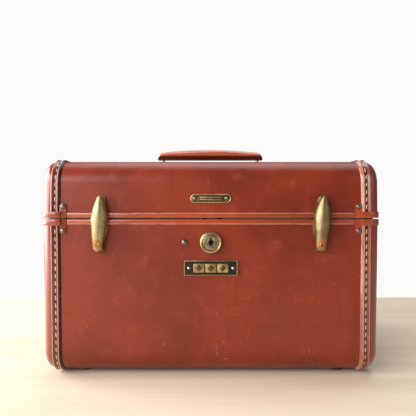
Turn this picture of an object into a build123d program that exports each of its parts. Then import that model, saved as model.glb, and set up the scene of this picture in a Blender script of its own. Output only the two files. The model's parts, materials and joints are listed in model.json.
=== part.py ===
from build123d import *
import os
from math import asin, atan2, cos, degrees, radians, sin, tan

# A makeup train case: a leather-covered board box whose lid swings on two rear
# hinges. X runs along the case, the front faces -Y and Z is up. The origin is the
# middle of the footprint, on the floor. Sizes are in millimetres.

os.makedirs("parts", exist_ok=True)

# ---------------------------------------------------------------- driving sizes
case_length = 328.0
case_depth = 212.0
panel_height = 207.0
foot_height = 3.0
base_height = 150.3
seam_gap = 1.3
side_radius = 22.0
end_radius = 10.5
end_draft = 0.7
board = 4.0
lining = 1.2
running = 0.05

rim_height = 5.0
rim_proud = 1.5
rim_end_inset = 25.5

ridge_proud = 2.0
channel_proud = 0.9
ridge_inner_inset = (18.4, 15.9)
ridge_outer_inset = (12.2, 10.0)
wrap_end_inset = 14.2

strap_height = 6.0
strap_thick = 1.0
strap_play = 0.15
tab_width = 6.4
tab_reach = 15.0
rivet_radius = 2.6
rivet_dome = 1.7
shank_radius = 1.0
shank_depth = 3.0

latch_spread = 106.6
latch_tilt = 3.0
lever_top = 22.5
lever_bottom = -31.7
lever_half_width = 8.2
lever_under = 3.0
lever_crown = 11.5
lever_wall = 2.0
lever_cavity_top = 7.6
lever_pivot_up = -28.9
lever_pivot_out = 5.2
lever_pin_radius = 1.2
lever_ear_half = 1.2
lever_ear_radius = 1.9
lever_slot_half = 1.6
heel_plate = 1.2
latch_plate = 2.6
latch_margin = -0.2
link_pivot_up = -14.0
link_pin_radius = 1.0
link_half_width = 2.8
link_thick = 1.4
link_end = 11.0

lock_below_seam = 22.9
lock_ring_wall = 3.3
lock_ring_proud = 4.6
lock_face_radius = 7.35
lock_face_proud = 3.6
lock_bore_gap = 0.5
lock_case_wall = 1.2
lock_stud_x = -25.5
lock_stud_radius = 3.0

plate_below_seam = 47.5
plate_size = (50.8, 13.8)
plate_thick = 1.4
tile_size = (10.5, 8.4)
tile_pitch = 11.5
tile_thick = 0.9
plate_pin_x = 21.3

badge_above_seam = 19.5
badge_size = (39.2, 8.9)
badge_thick = 1.4
badge_rivet_x = 15.5

handle_length = 125.0
handle_depth = 20.0
handle_rise = 22.2
handle_finger_room = 11.0
handle_under_bevel = 4.5
handle_top_bevel = 2.4
handle_pivot_rise = 5.5
handle_eye_radius = 3.2
tang_thick = 3.0
handle_pin_radius = 2.0

hinge_spread = 95.0
hinge_width = 40.0
hinge_out = 3.6
knuckle_radius = 2.8
hinge_pin_radius = 1.2
leaf_thick = 1.2
leaf_height = 24.0

lip_thick = 1.2
lip_gap = 0.4
lip_down = 8.0
lip_up = 4.0

stay_clearance = 3.3
stay_thick = 1.5
stay_radius = 75.0
stay_pivot_up = 10.0
stay_stud_down = 12.0
stay_stud_radius = 2.0
stay_slot_gap = 0.15
stay_arm_width = 9.0
stay_opening = 100.0

tray_end_gap = 16.0
tray_front_gap = 15.0
tray_back_gap = 23.0
tray_height = 40.0
tray_wall = 2.4
tray_below_seam = 14.3
ledge_thick = 5.0
ledge_reach = 14.0
pocket_size = (220.0, 9.0, 70.0)
pocket_below_seam = 21.3
pocket_wall = 1.0

mirror_size = (184.0, 114.0)
mirror_frame_width = 9.0
mirror_thick = 2.6
mirror_frame_thick = 5.0

foot_radius = 8.0
foot_inset = (36.0, 28.0)

# ------------------------------------------------------------- derived positions
y_shift = (lever_crown - hinge_out - knuckle_radius) / 2
front = -case_depth / 2 + y_shift
back = case_depth / 2 + y_shift
mid_y = (front + back) / 2
panel_bottom = foot_height
panel_top = panel_bottom + panel_height
mid_z = (panel_bottom + panel_top) / 2
half_length = case_length / 2
seam_height = foot_height + base_height
rim_end = half_length - rim_end_inset
ridge_inner = tuple(half_length - inset for inset in ridge_inner_inset)
ridge_outer = tuple(half_length - inset for inset in ridge_outer_inset)
channel = (ridge_inner[1], ridge_outer[0])
wrap_end = half_length - wrap_end_inset
lock_z = seam_height - lock_below_seam
lock_ring_radius = lock_face_radius + lock_ring_wall
plate_z = seam_height - plate_below_seam
badge_z = seam_height + badge_above_seam
handle_top = panel_top + handle_rise
handle_under = panel_top + handle_finger_room
handle_pivot_z = panel_top + handle_pivot_rise
stay_x = half_length - board - lining - stay_clearance
tray_size = (case_length - 2 * tray_end_gap, case_depth - tray_front_gap - tray_back_gap, tray_height)
tray_bottom_z = seam_height - tray_below_seam - tray_height
pocket_bottom_z = seam_height - pocket_below_seam - pocket_size[2]
foot_place = (half_length - foot_inset[0], case_depth / 2 - foot_inset[1])
rim_top = seam_height + seam_gap / 2 + rim_height
rim_bottom = seam_height - seam_gap / 2 - rim_height
lid_edge = seam_height + seam_gap / 2
base_edge = seam_height - seam_gap / 2
far = 2 * case_length
sides = {"left": -1, "right": 1}


def lean(height):
    """How far the tapering ends have come in at a height."""
    return abs(height - seam_height) * tan(radians(end_draft))


def half_block(lower, upper, inset):
    """One half of the case as a solid block, its skin moved in by an inset."""
    reach = half_length - inset
    with BuildPart() as block:
        with BuildSketch(Plane.YZ):
            with Locations((mid_y, mid_z)):
                RectangleRounded(case_depth - 2 * inset, panel_height - 2 * inset, side_radius - inset)
        extrude(amount=half_length, both=True)
        with BuildSketch(Plane.XZ):
            Polygon(
                (lean(lower) - reach, lower),
                (reach - lean(lower), lower),
                (reach - lean(upper), upper),
                (lean(upper) - reach, upper),
                align=None,
            )
        extrude(amount=case_depth, both=True, mode=Mode.INTERSECT)
        end_faces = block.faces().sort_by(Axis.X)
        end_edges = end_faces[0].edges() + end_faces[-1].edges()
        rounded = [edge for edge in end_edges if abs(edge.center().Z - seam_height) > 0.01]
        fillet(rounded, end_radius - inset)
    return block.part


def leaning_band(start, end, lower, upper):
    """The stretch of the case from one X to another, leaning with the ends."""
    low = 1 - lean(lower) / half_length
    high = 1 - lean(upper) / half_length
    with BuildPart() as prism:
        with BuildSketch(Plane.XZ):
            Polygon(
                (start * low, lower),
                (end * low, lower),
                (end * high, upper),
                (start * high, upper),
                align=None,
            )
        extrude(amount=case_depth, both=True)
    return prism.part


def side_ring(proud, start, end, lower, upper):
    """A strip bent round the case's side outline, standing proud of the panels."""
    with BuildPart() as ring:
        with BuildSketch(Plane.YZ):
            with Locations((mid_y, mid_z)):
                RectangleRounded(case_depth + 2 * proud, panel_height + 2 * proud, side_radius + proud)
                RectangleRounded(case_depth, panel_height, side_radius, mode=Mode.SUBTRACT)
        extrude(amount=half_length, both=True)
        add(leaning_band(start, end, lower, upper), mode=Mode.INTERSECT)
    return ring.part


def face_plane(x, z, out, outward):
    """A plane parallel to the front (-1) or back (1) panel, facing away from it."""
    face_y = front if outward < 0 else back
    return Plane((x, face_y + outward * out, z), x_dir=(1, 0, 0), z_dir=(0, outward, 0))


def studs(points, radius, start, end, outward=-1):
    """Round pins square to a panel, between two distances out from it."""
    with BuildPart() as pins:
        for x, z in points:
            with BuildSketch(face_plane(x, z, start, outward)):
                Circle(radius)
            extrude(amount=end - start)
    return pins.part


def domed_rivets(points, radius, dome, seat, outward=-1):
    """Rivets with a domed head on a seat and a shank driven into the board."""
    with BuildPart() as rivets:
        for x, z in points:
            with BuildSketch(face_plane(x, z, seat, outward)):
                Circle(radius)
            extrude(amount=dome)
        fillet(rivets.edges().group_by(Axis.Y)[0 if outward < 0 else -1], dome * 0.92)
        for x, z in points:
            with BuildSketch(face_plane(x, z, seat, outward)):
                Circle(shank_radius)
            extrude(amount=-seat - shank_depth)
    return rivets.part


def keep(part, name):
    """Label a finished piece and write its STEP file."""
    part.label = name
    export_step(part, f"parts/{name}.step")


# ------------------------------------------------------------------ the fasteners
rivet_x = rim_end + 0.5 + tab_width / 2
tab_tip = tab_reach - tab_width / 2
lid_rivets = [(side * rivet_x, seam_height + tab_tip) for side in (-1, 1)]
base_rivets = [(side * rivet_x, seam_height - tab_tip) for side in (-1, 1)]
badge_rivets = [(side * badge_rivet_x, badge_z) for side in (-1, 1)]
plate_pins = [(side * plate_pin_x, plate_z) for side in (-1, 1)]
lid_front_holes = studs(lid_rivets + badge_rivets, shank_radius, -shank_depth, 0)
lid_back_holes = studs(lid_rivets, shank_radius, -shank_depth, 0, 1)
base_front_holes = studs(
    base_rivets + plate_pins + [(lock_stud_x, lock_z)], shank_radius, -shank_depth, 0
)
base_back_holes = studs(base_rivets, shank_radius, -shank_depth, 0, 1)
lock_bore = studs([(0, lock_z)], lock_face_radius + lock_bore_gap, -board - 1, 1)

# --------------------------------------------------------------- the board shells
base_solid = half_block(panel_bottom - 1, seam_height, 0)
base_hollow = half_block(panel_bottom - 1, seam_height, board)
base_room = half_block(panel_bottom - 1, seam_height, board + lining)
lid_solid = half_block(seam_height, panel_top + 1, 0)
lid_hollow = half_block(seam_height, panel_top + 1, board)
lid_room = half_block(seam_height, panel_top + 1, board + lining)

base_middle = leaning_band(-wrap_end, wrap_end, panel_bottom - 1, rim_bottom)
lid_middle = leaning_band(-wrap_end, wrap_end, rim_top, panel_top + 1)

with BuildPart() as base_wrap:
    add(base_solid)
    add(base_hollow, mode=Mode.SUBTRACT)
    add(base_middle, mode=Mode.INTERSECT)
    add(base_front_holes, mode=Mode.SUBTRACT)
    add(base_back_holes, mode=Mode.SUBTRACT)
    add(lock_bore, mode=Mode.SUBTRACT)
keep(base_wrap.part, "base_wrap")

with BuildPart() as lid_wrap:
    add(lid_solid)
    add(lid_hollow, mode=Mode.SUBTRACT)
    add(lid_middle, mode=Mode.INTERSECT)
    add(lid_front_holes, mode=Mode.SUBTRACT)
    add(lid_back_holes, mode=Mode.SUBTRACT)
keep(lid_wrap.part, "lid_wrap")

for name, side in sides.items():
    base_end_band = leaning_band(side * wrap_end, side * case_length, panel_bottom - 1, rim_bottom)
    with BuildPart() as base_end:
        add(base_solid)
        add(base_hollow, mode=Mode.SUBTRACT)
        add(base_end_band, mode=Mode.INTERSECT)
    keep(base_end.part, f"base_end_{name}")

    lid_end_band = leaning_band(side * wrap_end, side * case_length, rim_top, panel_top + 1)
    with BuildPart() as lid_end:
        add(lid_solid)
        add(lid_hollow, mode=Mode.SUBTRACT)
        add(lid_end_band, mode=Mode.INTERSECT)
    keep(lid_end.part, f"lid_end_{name}")

# ----------------------------------------------------------- rims, lip and straps
hinge_notch = hinge_width + 1.2


def plan_outline(grow):
    """The case's outline seen from above, moved out by an amount."""
    with BuildSketch() as outline:
        with Locations((0, mid_y)):
            RectangleRounded(case_length + 2 * grow, case_depth + 2 * grow, end_radius + grow)
    return outline.sketch


def rim(bottom):
    """A flat hoop round the mouth, proud between the straps and notched at the hinges."""
    with BuildPart() as hoop:
        with BuildSketch(Plane.XY.offset(bottom)):
            add(plan_outline(0))
            with Locations((0, mid_y)):
                Rectangle(2 * rim_end, case_depth + 2 * rim_proud)
            with Locations((-hinge_spread, back + rim_proud), (hinge_spread, back + rim_proud)):
                Rectangle(hinge_notch, 2 * rim_proud, mode=Mode.SUBTRACT)
            add(plan_outline(-board), mode=Mode.SUBTRACT)
        extrude(amount=rim_height)
    return hoop.part


with BuildPart() as base_rim:
    add(rim(rim_bottom))
keep(base_rim.part, "base_rim")

with BuildPart() as lid_rim:
    add(rim(lid_edge))
keep(lid_rim.part, "lid_rim")

strike_x = (-3.0, 7.0)
strike_out = (-board - 1.8, -board - 0.4)
lip_notch_gap = 4.0
with BuildPart() as base_lip:
    with BuildSketch(Plane.XY.offset(seam_height - lip_down)):
        add(plan_outline(-board - lip_gap))
        add(plan_outline(-board - lip_gap - lip_thick), mode=Mode.SUBTRACT)
        with Locations(((strike_x[0] + strike_x[1]) / 2, front + board)):
            Rectangle(strike_x[1] - strike_x[0] + 2 * lip_notch_gap, 3 * board, mode=Mode.SUBTRACT)
    extrude(amount=lip_down + lip_up)
keep(base_lip.part, "base_lip")


tab_middle = rim_end + 0.5 + tab_width / 2
tab_holes = [
    studs(lid_rivets + base_rivets, shank_radius, -1, 2 * strap_thick, outward) for outward in (-1, 1)
]
ridge_middle = (ridge_inner[0] + ridge_outer[1]) / 2
ridge_span = ridge_outer[1] - ridge_inner[0]


def strap(side, bottom, tip_z):
    """A leather strap round one end, over the binding, with a riveted tab front and back."""
    strap_middle = bottom + strap_height / 2
    with BuildPart() as band:
        with BuildSketch(Plane.XY.offset(bottom)):
            add(plan_outline(strap_thick))
            with Locations((side * ridge_middle, mid_y)):
                Rectangle(
                    ridge_span + 2 * (strap_play + strap_thick),
                    case_depth + 2 * (ridge_proud + strap_thick),
                )
                Rectangle(ridge_span + 2 * strap_play, case_depth + 2 * ridge_proud, mode=Mode.SUBTRACT)
            add(plan_outline(0), mode=Mode.SUBTRACT)
            with Locations((side * (rim_end + 0.5 + far / 2), mid_y)):
                Rectangle(far, far, mode=Mode.INTERSECT)
        extrude(amount=strap_height)
        for outward in (-1, 1):
            with BuildSketch(face_plane(side * tab_middle, (strap_middle + tip_z) / 2, 0, outward)):
                Rectangle(tab_width, abs(tip_z - strap_middle))
            extrude(amount=strap_thick)
            with BuildSketch(face_plane(side * tab_middle, tip_z, 0, outward)):
                Circle(tab_width / 2)
            extrude(amount=strap_thick)
        for holes in tab_holes:
            add(holes, mode=Mode.SUBTRACT)
    return band.part


def binding(side, lower, upper):
    """Two raised ridges with a stitched channel between them, round one end's joint."""
    with BuildPart() as strip:
        for proud, (start, end) in (
            (ridge_proud, ridge_inner),
            (channel_proud, channel),
            (ridge_proud, ridge_outer),
        ):
            add(side_ring(proud, side * start, side * end, lower, upper))
    return strip.part


for name, side in sides.items():
    with BuildPart() as binding_base:
        add(binding(side, panel_bottom - ridge_proud - 1, base_edge))
    keep(binding_base.part, f"binding_base_{name}")

    with BuildPart() as binding_lid:
        add(binding(side, lid_edge, panel_top + ridge_proud + 1))
    keep(binding_lid.part, f"binding_lid_{name}")

    with BuildPart() as strap_base:
        add(strap(side, base_edge - strap_height, seam_height - tab_tip))
    keep(strap_base.part, f"strap_base_{name}")

    with BuildPart() as strap_lid:
        add(strap(side, lid_edge, seam_height + tab_tip))
    keep(strap_lid.part, f"strap_lid_{name}")

with BuildPart() as strap_rivets_base:
    add(domed_rivets(base_rivets, rivet_radius, rivet_dome, strap_thick))
    add(domed_rivets(base_rivets, rivet_radius, rivet_dome, strap_thick, 1))
keep(strap_rivets_base.part, "strap_rivets_base")

with BuildPart() as strap_rivets_lid:
    add(domed_rivets(lid_rivets, rivet_radius, rivet_dome, strap_thick))
    add(domed_rivets(lid_rivets, rivet_radius, rivet_dome, strap_thick, 1))
keep(strap_rivets_lid.part, "strap_rivets_lid")

with BuildPart() as feet:
    with BuildSketch():
        with Locations((0, mid_y)):
            with GridLocations(2 * foot_place[0], 2 * foot_place[1], 2, 2):
                Circle(foot_radius)
    extrude(amount=foot_height)
    fillet(feet.edges().group_by(Axis.Z)[0], 0.8)
keep(feet.part, "feet")

# ------------------------------------------------------------ the two lever latches
# Each latch is drawn upright about the seam, its outward direction along -Y, and is
# then set on the front panel at its place and tilt.


def leaf_block(grow, height):
    """A leaf, pointed above and widest at the seam, grown by an amount and made solid."""
    with BuildPart() as leaf:
        with BuildSketch(Plane.XZ):
            with BuildLine():
                Spline(
                    (0, lever_top + grow),
                    (0.6 * lever_half_width + grow, lever_top - 6),
                    (lever_half_width + grow, -1),
                    (0.8 * lever_half_width + grow, -17),
                    (0.53 * lever_half_width + grow, lever_bottom + 3.2),
                    (0, lever_bottom - grow),
                    tangents=((1, 0), (-1, 0)),
                )
                mirror(about=Plane.YZ)
            make_face()
        extrude(amount=height, dir=(0, -1, 0))
    return leaf.part


def cross_pin(up, out, radius, half):
    """A pin along the latch's width, at a height and a distance out."""
    with BuildPart() as pin:
        with BuildSketch(Plane.YZ):
            with Locations((-out, up)):
                Circle(radius)
        extrude(amount=half, both=True)
    return pin.part


def latch_box(half_width, low, high, inner, outer):
    """A block on the latch, between two heights and two distances out."""
    with BuildPart() as block:
        with BuildSketch(Plane.XZ.offset(inner)):
            with Locations((0, (low + high) / 2)):
                Rectangle(2 * half_width, high - low)
        extrude(amount=outer - inner)
    return block.part


lever_pin_hole = cross_pin(lever_pivot_up, lever_pivot_out, lever_pin_radius + running, lever_half_width)
link_pin_half = 0.8 * lever_half_width - 1.1
link_pin_hole = cross_pin(link_pivot_up, lever_pivot_out, link_pin_radius, link_pin_half)
heel_slot = latch_box(lever_slot_half, lever_bottom - 2, link_pivot_up - 7, lever_under - 1, lever_cavity_top)

lever_leaf = leaf_block(0, lever_crown + 1)
cavity_leaf = leaf_block(-lever_wall, lever_cavity_top)
plate_leaf = leaf_block(latch_margin, latch_plate)

with BuildPart() as lever_form:
    add(lever_leaf)
    with BuildSketch(Plane.YZ):
        with BuildLine():
            ThreePointArc((-6.2, lever_bottom - 1), (-lever_crown, -1), (-5.0, lever_top + 1))
            Line((-5.0, lever_top + 1), (-lever_under, lever_top + 1))
            Line((-lever_under, lever_top + 1), (-lever_under, lever_bottom - 1))
            Line((-lever_under, lever_bottom - 1), (-6.2, lever_bottom - 1))
        make_face()
    extrude(amount=2 * lever_half_width, both=True, mode=Mode.INTERSECT)
    with BuildSketch():
        with BuildLine():
            ThreePointArc(
                (-lever_half_width - 0.5, -lever_under - 2.6),
                (0, -lever_crown),
                (lever_half_width + 0.5, -lever_under - 2.6),
            )
            Line((lever_half_width + 0.5, -lever_under - 2.6), (lever_half_width + 0.5, 0))
            Line((lever_half_width + 0.5, 0), (-lever_half_width - 0.5, 0))
            Line((-lever_half_width - 0.5, 0), (-lever_half_width - 0.5, -lever_under - 2.6))
        make_face()
    extrude(amount=2 * (lever_top - lever_bottom), both=True, mode=Mode.INTERSECT)

with BuildPart() as lever_cavity:
    add(cavity_leaf)
    add(latch_box(lever_half_width, link_pivot_up - 8, lever_top, -1, lever_cavity_top), mode=Mode.INTERSECT)

with BuildPart() as link_form:
    with BuildSketch(Plane.YZ):
        with Locations((-lever_pivot_out, link_pivot_up)):
            Circle(link_pin_radius + 1)
        with Locations((-(lever_under + 0.3 + link_thick / 2), (link_pivot_up + link_end) / 2)):
            Rectangle(link_thick, link_end - link_pivot_up)
    extrude(amount=link_half_width, both=True)
    link_bore = cross_pin(link_pivot_up, lever_pivot_out, link_pin_radius + running, lever_half_width)
    add(link_bore, mode=Mode.SUBTRACT)

with BuildPart() as latch_plate_form:
    add(plate_leaf)
    heel_end = lever_pivot_up + 6
    add(latch_box(far, lever_bottom - 5, heel_end, heel_plate, latch_plate + 1), mode=Mode.SUBTRACT)

with BuildPart() as latch_ear:
    with BuildSketch(Plane.YZ):
        with Locations((-lever_pivot_out, lever_pivot_up)):
            Circle(lever_ear_radius)
        with Locations((-(lever_pivot_out + heel_plate) / 2, lever_pivot_up)):
            Rectangle(lever_pivot_out - heel_plate, 2 * lever_ear_radius)
    extrude(amount=lever_ear_half, both=True)
    add(cross_pin(lever_pivot_up, lever_pivot_out, lever_pin_radius, lever_half_width), mode=Mode.SUBTRACT)


def latch_place(side):
    """Where a latch stands on the front panel."""
    return Location((side * latch_spread, front, seam_height), (0, latch_tilt, 0))


with BuildPart() as rim_space:
    with Locations((0, front - rim_proud, seam_height)):
        Box(far, board, 2 * rim_height + seam_gap, align=(Align.CENTER, Align.MIN, Align.CENTER))
        Box(far, far, seam_gap)

for name, side in sides.items():
    place = latch_place(side)
    with BuildPart() as lever:
        with Locations(place):
            add(lever_form.part)
            add(lever_cavity.part, mode=Mode.SUBTRACT)
            add(heel_slot, mode=Mode.SUBTRACT)
            add(lever_pin_hole, mode=Mode.SUBTRACT)
            add(link_pin_hole, mode=Mode.SUBTRACT)
    keep(lever.part, f"lever_{name}")

    with BuildPart() as link_pin:
        with Locations(place):
            add(link_pin_hole)
    keep(link_pin.part, f"link_pin_{name}")

    with BuildPart() as link:
        with Locations(place):
            add(link_form.part)
    keep(link.part, f"link_{name}")

    with BuildPart() as latch_base:
        with Locations(place):
            add(latch_plate_form.part)
            add(latch_ear.part)
        with Locations((0, front, seam_height)):
            Box(far, far, far, align=(Align.CENTER, Align.CENTER, Align.MIN), mode=Mode.SUBTRACT)
        add(rim_space.part, mode=Mode.SUBTRACT)
    keep(latch_base.part, f"latch_plate_{name}")

with BuildPart() as latch_keepers:
    with Locations(latch_place(-1), latch_place(1)):
        add(latch_plate_form.part)
    with Locations((0, front, seam_height)):
        Box(far, far, far, align=(Align.CENTER, Align.CENTER, Align.MAX), mode=Mode.SUBTRACT)
    add(rim_space.part, mode=Mode.SUBTRACT)
keep(latch_keepers.part, "latch_keepers")

with BuildPart() as lever_pins:
    with Locations(latch_place(-1), latch_place(1)):
        add(cross_pin(lever_pivot_up, lever_pivot_out, lever_pin_radius, lever_half_width / 2 - 0.1))
keep(lever_pins.part, "lever_pins")

# ------------------------------------------------------------------------ the lock
def front_disc(x, z, radius, start, end):
    """A disc square to the front panel, between two distances out from it."""
    return studs([(x, z)], radius, start, end)


def front_block(x_range, z_range, out_range, outward=-1):
    """A block against a panel, given by its X, Z and outward ranges."""
    with BuildPart() as block:
        middle = ((x_range[0] + x_range[1]) / 2, (z_range[0] + z_range[1]) / 2)
        with BuildSketch(face_plane(middle[0], middle[1], out_range[0], outward)):
            Rectangle(x_range[1] - x_range[0], z_range[1] - z_range[0])
        extrude(amount=out_range[1] - out_range[0])
    return block.part


with BuildPart() as lock_ring:
    add(front_disc(0, lock_z, lock_ring_radius, 0, lock_ring_proud))
    fillet(lock_ring.edges().group_by(Axis.Y)[0], 2.2)
    add(front_disc(0, lock_z, lock_face_radius + running, -1, lock_ring_proud + 1), mode=Mode.SUBTRACT)
keep(lock_ring.part, "lock_ring")

cam_reach = lock_z + lock_face_radius + 0.6
with BuildPart() as lock_cylinder:
    add(front_disc(0, lock_z, lock_face_radius, -board - 1.8, lock_face_proud))
    fillet(lock_cylinder.edges().group_by(Axis.Y)[0], 0.5)
    add(front_block((-lock_face_radius - 0.3, 0), (lock_z - 2, lock_z + 2), (-board - 4, -board - 1.8)))
    add(front_disc(0, lock_z, 2.2, lock_face_proud - 6, lock_face_proud + 1), mode=Mode.SUBTRACT)
    add(
        front_block((-0.9, 0.9), (lock_z, lock_z + 4.6), (lock_face_proud - 6, lock_face_proud + 1)),
        mode=Mode.SUBTRACT,
    )
keep(lock_cylinder.part, "lock_cylinder")

case_x = (-24.0, 12.0)
case_z = (lock_z - lock_face_radius - 2.15, seam_height - lip_down - 0.3)
case_out = (-board - 6.0, -board)
with BuildPart() as lock_case:
    add(front_block(case_x, case_z, case_out))
    add(
        front_block(
            (case_x[0] + lock_case_wall, case_x[1] - lock_case_wall),
            (case_z[0] + lock_case_wall, case_z[1] + 1),
            (case_out[0] + lock_case_wall, case_out[1] + 1),
        ),
        mode=Mode.SUBTRACT,
    )
keep(lock_case.part, "lock_case")

bolt_z = (cam_reach + 0.8, cam_reach + 4.8)
bolt_travel = 6.0
with BuildPart() as lock_bolt:
    add(front_block((-20.0, strike_x[0] - 1.2), bolt_z, strike_out))
keep(lock_bolt.part, "lock_bolt")

strike_notch = 1.0
with BuildPart() as lid_strike:
    add(front_block(strike_x, (bolt_z[0] - 0.4, rim_top - 0.2), strike_out))
    add(front_block(strike_x, (lid_edge, rim_top - 0.2), (strike_out[1], -board)))
    add(
        front_block(
            (strike_x[0] - 1, strike_x[0] + bolt_travel),
            (bolt_z[0] - strike_notch, bolt_z[1] + strike_notch),
            (strike_out[0] - 1, strike_out[1] + 1),
        ),
        mode=Mode.SUBTRACT,
    )
keep(lid_strike.part, "lid_strike")

with BuildPart() as lock_stud:
    add(domed_rivets([(lock_stud_x, lock_z)], lock_stud_radius, rivet_dome + 0.3, 0))
keep(lock_stud.part, "lock_stud")

# ------------------------------------------------------- initials plate and badge
with BuildPart() as initials_plate:
    with BuildSketch(face_plane(0, plate_z, 0, -1)):
        RectangleRounded(plate_size[0], plate_size[1], 1.6)
    extrude(amount=plate_thick)
    add(studs(plate_pins, shank_radius, -1, plate_thick + 1), mode=Mode.SUBTRACT)
keep(initials_plate.part, "initials_plate")

with BuildPart() as initials_tiles:
    with BuildSketch(face_plane(0, plate_z, plate_thick, -1)):
        with GridLocations(tile_pitch, 1, 3, 1):
            RectangleRounded(tile_size[0], tile_size[1], 0.8)
    extrude(amount=tile_thick)
keep(initials_tiles.part, "initials_tiles")

with BuildPart() as initials_pins:
    add(domed_rivets(plate_pins, 1.5, 0.9, plate_thick))
keep(initials_pins.part, "initials_pins")

with BuildPart() as badge:
    with BuildSketch(face_plane(0, badge_z, 0, -1)):
        SlotOverall(badge_size[0], badge_size[1])
    extrude(amount=badge_thick)
    add(studs(badge_rivets, shank_radius, -1, badge_thick + 1), mode=Mode.SUBTRACT)
keep(badge.part, "badge")

with BuildPart() as badge_pins:
    add(domed_rivets(badge_rivets, 1.8, 1.0, badge_thick))
keep(badge_pins.part, "badge_rivets")

# ---------------------------------------------------------------------- the handle
half_handle = handle_length / 2
tang_middle = half_handle - 6.0
bracket_gap = 0.5
bracket_wall = 2.0
bracket_foot = 1.6

grip_height = handle_top - handle_under
with BuildPart() as handle_grip:
    with BuildSketch(Plane.XZ.offset(-mid_y)):
        with BuildLine():
            Line((0, handle_under), (-half_handle, handle_under))
            Line((-half_handle, handle_under), (-half_handle + 1.7, handle_under + 0.42 * grip_height))
            ThreePointArc(
                (-half_handle + 1.7, handle_under + 0.42 * grip_height),
                (-half_handle + 4.9, handle_under + 0.66 * grip_height),
                (-half_handle + 9.6, handle_under + 0.78 * grip_height),
            )
            ThreePointArc(
                (-half_handle + 9.6, handle_under + 0.78 * grip_height),
                (-half_handle / 2, handle_under + 0.935 * grip_height),
                (0, handle_top),
            )
            mirror(about=Plane.YZ)
        make_face()
    extrude(amount=handle_depth / 2, both=True)
    long_edges = handle_grip.faces().sort_by(Axis.Y)[0].edges()
    long_edges += handle_grip.faces().sort_by(Axis.Y)[-1].edges()
    chamfer(long_edges, handle_top_bevel)
    with BuildSketch(Plane.YZ):
        for side in (-1, 1):
            edge_y = mid_y + side * handle_depth / 2
            with BuildLine():
                Polyline(
                    (edge_y, handle_under + handle_under_bevel),
                    (edge_y - side * handle_under_bevel, handle_under),
                    (edge_y - side * handle_under_bevel, handle_under - 1),
                    (edge_y + side, handle_under - 1),
                    (edge_y + side, handle_under + handle_under_bevel),
                    close=True,
                )
            make_face()
    extrude(amount=handle_length, both=True, mode=Mode.SUBTRACT)
keep(handle_grip.part, "handle_grip")

with BuildPart() as handle_tangs:
    for side in (-1, 1):
        with BuildSketch(Plane.YZ.offset(side * tang_middle)):
            with Locations((mid_y, handle_pivot_z)):
                Circle(handle_eye_radius)
            with Locations((mid_y, (handle_pivot_z + handle_under) / 2)):
                Rectangle(2 * handle_eye_radius, handle_under - handle_pivot_z)
            with Locations((mid_y, handle_pivot_z)):
                Circle(handle_pin_radius + running, mode=Mode.SUBTRACT)
        extrude(amount=tang_thick / 2, both=True)
keep(handle_tangs.part, "handle_tangs")

ear_middle = tang_thick / 2 + bracket_gap + bracket_wall / 2
ear_round = handle_eye_radius + 0.3
with BuildPart() as handle_brackets:
    for side in (-1, 1):
        with BuildSketch(Plane.XY.offset(panel_top)):
            with Locations((side * tang_middle, mid_y)):
                RectangleRounded(24, 16, 3)
        extrude(amount=bracket_foot)
        for ear in (-1, 1):
            with BuildSketch(Plane.YZ.offset(side * tang_middle + ear * ear_middle)):
                with Locations((mid_y, handle_pivot_z)):
                    Circle(ear_round)
                with Locations((mid_y, (handle_pivot_z + panel_top + bracket_foot) / 2)):
                    Rectangle(2 * ear_round, handle_pivot_z - panel_top - bracket_foot)
            extrude(amount=bracket_wall / 2, both=True)
        with BuildSketch(Plane.YZ.offset(side * tang_middle)):
            with Locations((mid_y, handle_pivot_z)):
                Circle(handle_pin_radius)
        extrude(amount=10, both=True, mode=Mode.SUBTRACT)
keep(handle_brackets.part, "handle_brackets")

with BuildPart() as handle_pins:
    for side in (-1, 1):
        with BuildSketch(Plane.YZ.offset(side * tang_middle)):
            with Locations((mid_y, handle_pivot_z)):
                Circle(handle_pin_radius)
        extrude(amount=ear_middle + bracket_wall / 2 + 0.4, both=True)
keep(handle_pins.part, "handle_pins")

# ---------------------------------------------------------------------- the hinges
hinge_y = back + hinge_out
knuckle_play = 0.3
base_knuckles = ((-hinge_width / 2, -7.0), (7.0, hinge_width / 2))
lid_knuckles = ((-7.0 + knuckle_play, 7.0 - knuckle_play),)


def hinge_leaf(knuckles, up, hole_radius):
    """Two hinge leaves, each a plate on the back with knuckles rolled round the axis."""
    edge = seam_height + up * (knuckle_radius + 0.5)
    end = seam_height + up * leaf_height
    with BuildPart() as leaves:
        for side in (-1, 1):
            middle = side * hinge_spread
            add(
                front_block(
                    (middle - hinge_width / 2, middle + hinge_width / 2),
                    (min(edge, end), max(edge, end)),
                    (0, leaf_thick),
                    1,
                )
            )
            for start, stop in knuckles:
                add(
                    front_block(
                        (middle + start, middle + stop),
                        (min(seam_height, edge), max(seam_height, edge)),
                        (0, leaf_thick),
                        1,
                    )
                )
                with BuildSketch(Plane.YZ.offset(middle + start)):
                    with Locations((hinge_y, seam_height)):
                        Circle(knuckle_radius)
                extrude(amount=stop - start)
            with BuildSketch(Plane.YZ.offset(middle)):
                with Locations((hinge_y, seam_height)):
                    Circle(hole_radius)
            extrude(amount=hinge_width, both=True, mode=Mode.SUBTRACT)
    return leaves.part


with BuildPart() as hinge_leaves_base:
    add(hinge_leaf(base_knuckles, -1, hinge_pin_radius))
keep(hinge_leaves_base.part, "hinge_leaves_base")

with BuildPart() as hinge_leaves_lid:
    add(hinge_leaf(lid_knuckles, 1, hinge_pin_radius + running))
keep(hinge_leaves_lid.part, "hinge_leaves_lid")

with BuildPart() as hinge_pins:
    for side in (-1, 1):
        with BuildSketch(Plane.YZ.offset(side * hinge_spread)):
            with Locations((hinge_y, seam_height)):
                Circle(hinge_pin_radius)
        extrude(amount=hinge_width / 2, both=True)
keep(hinge_pins.part, "hinge_pins")

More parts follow.
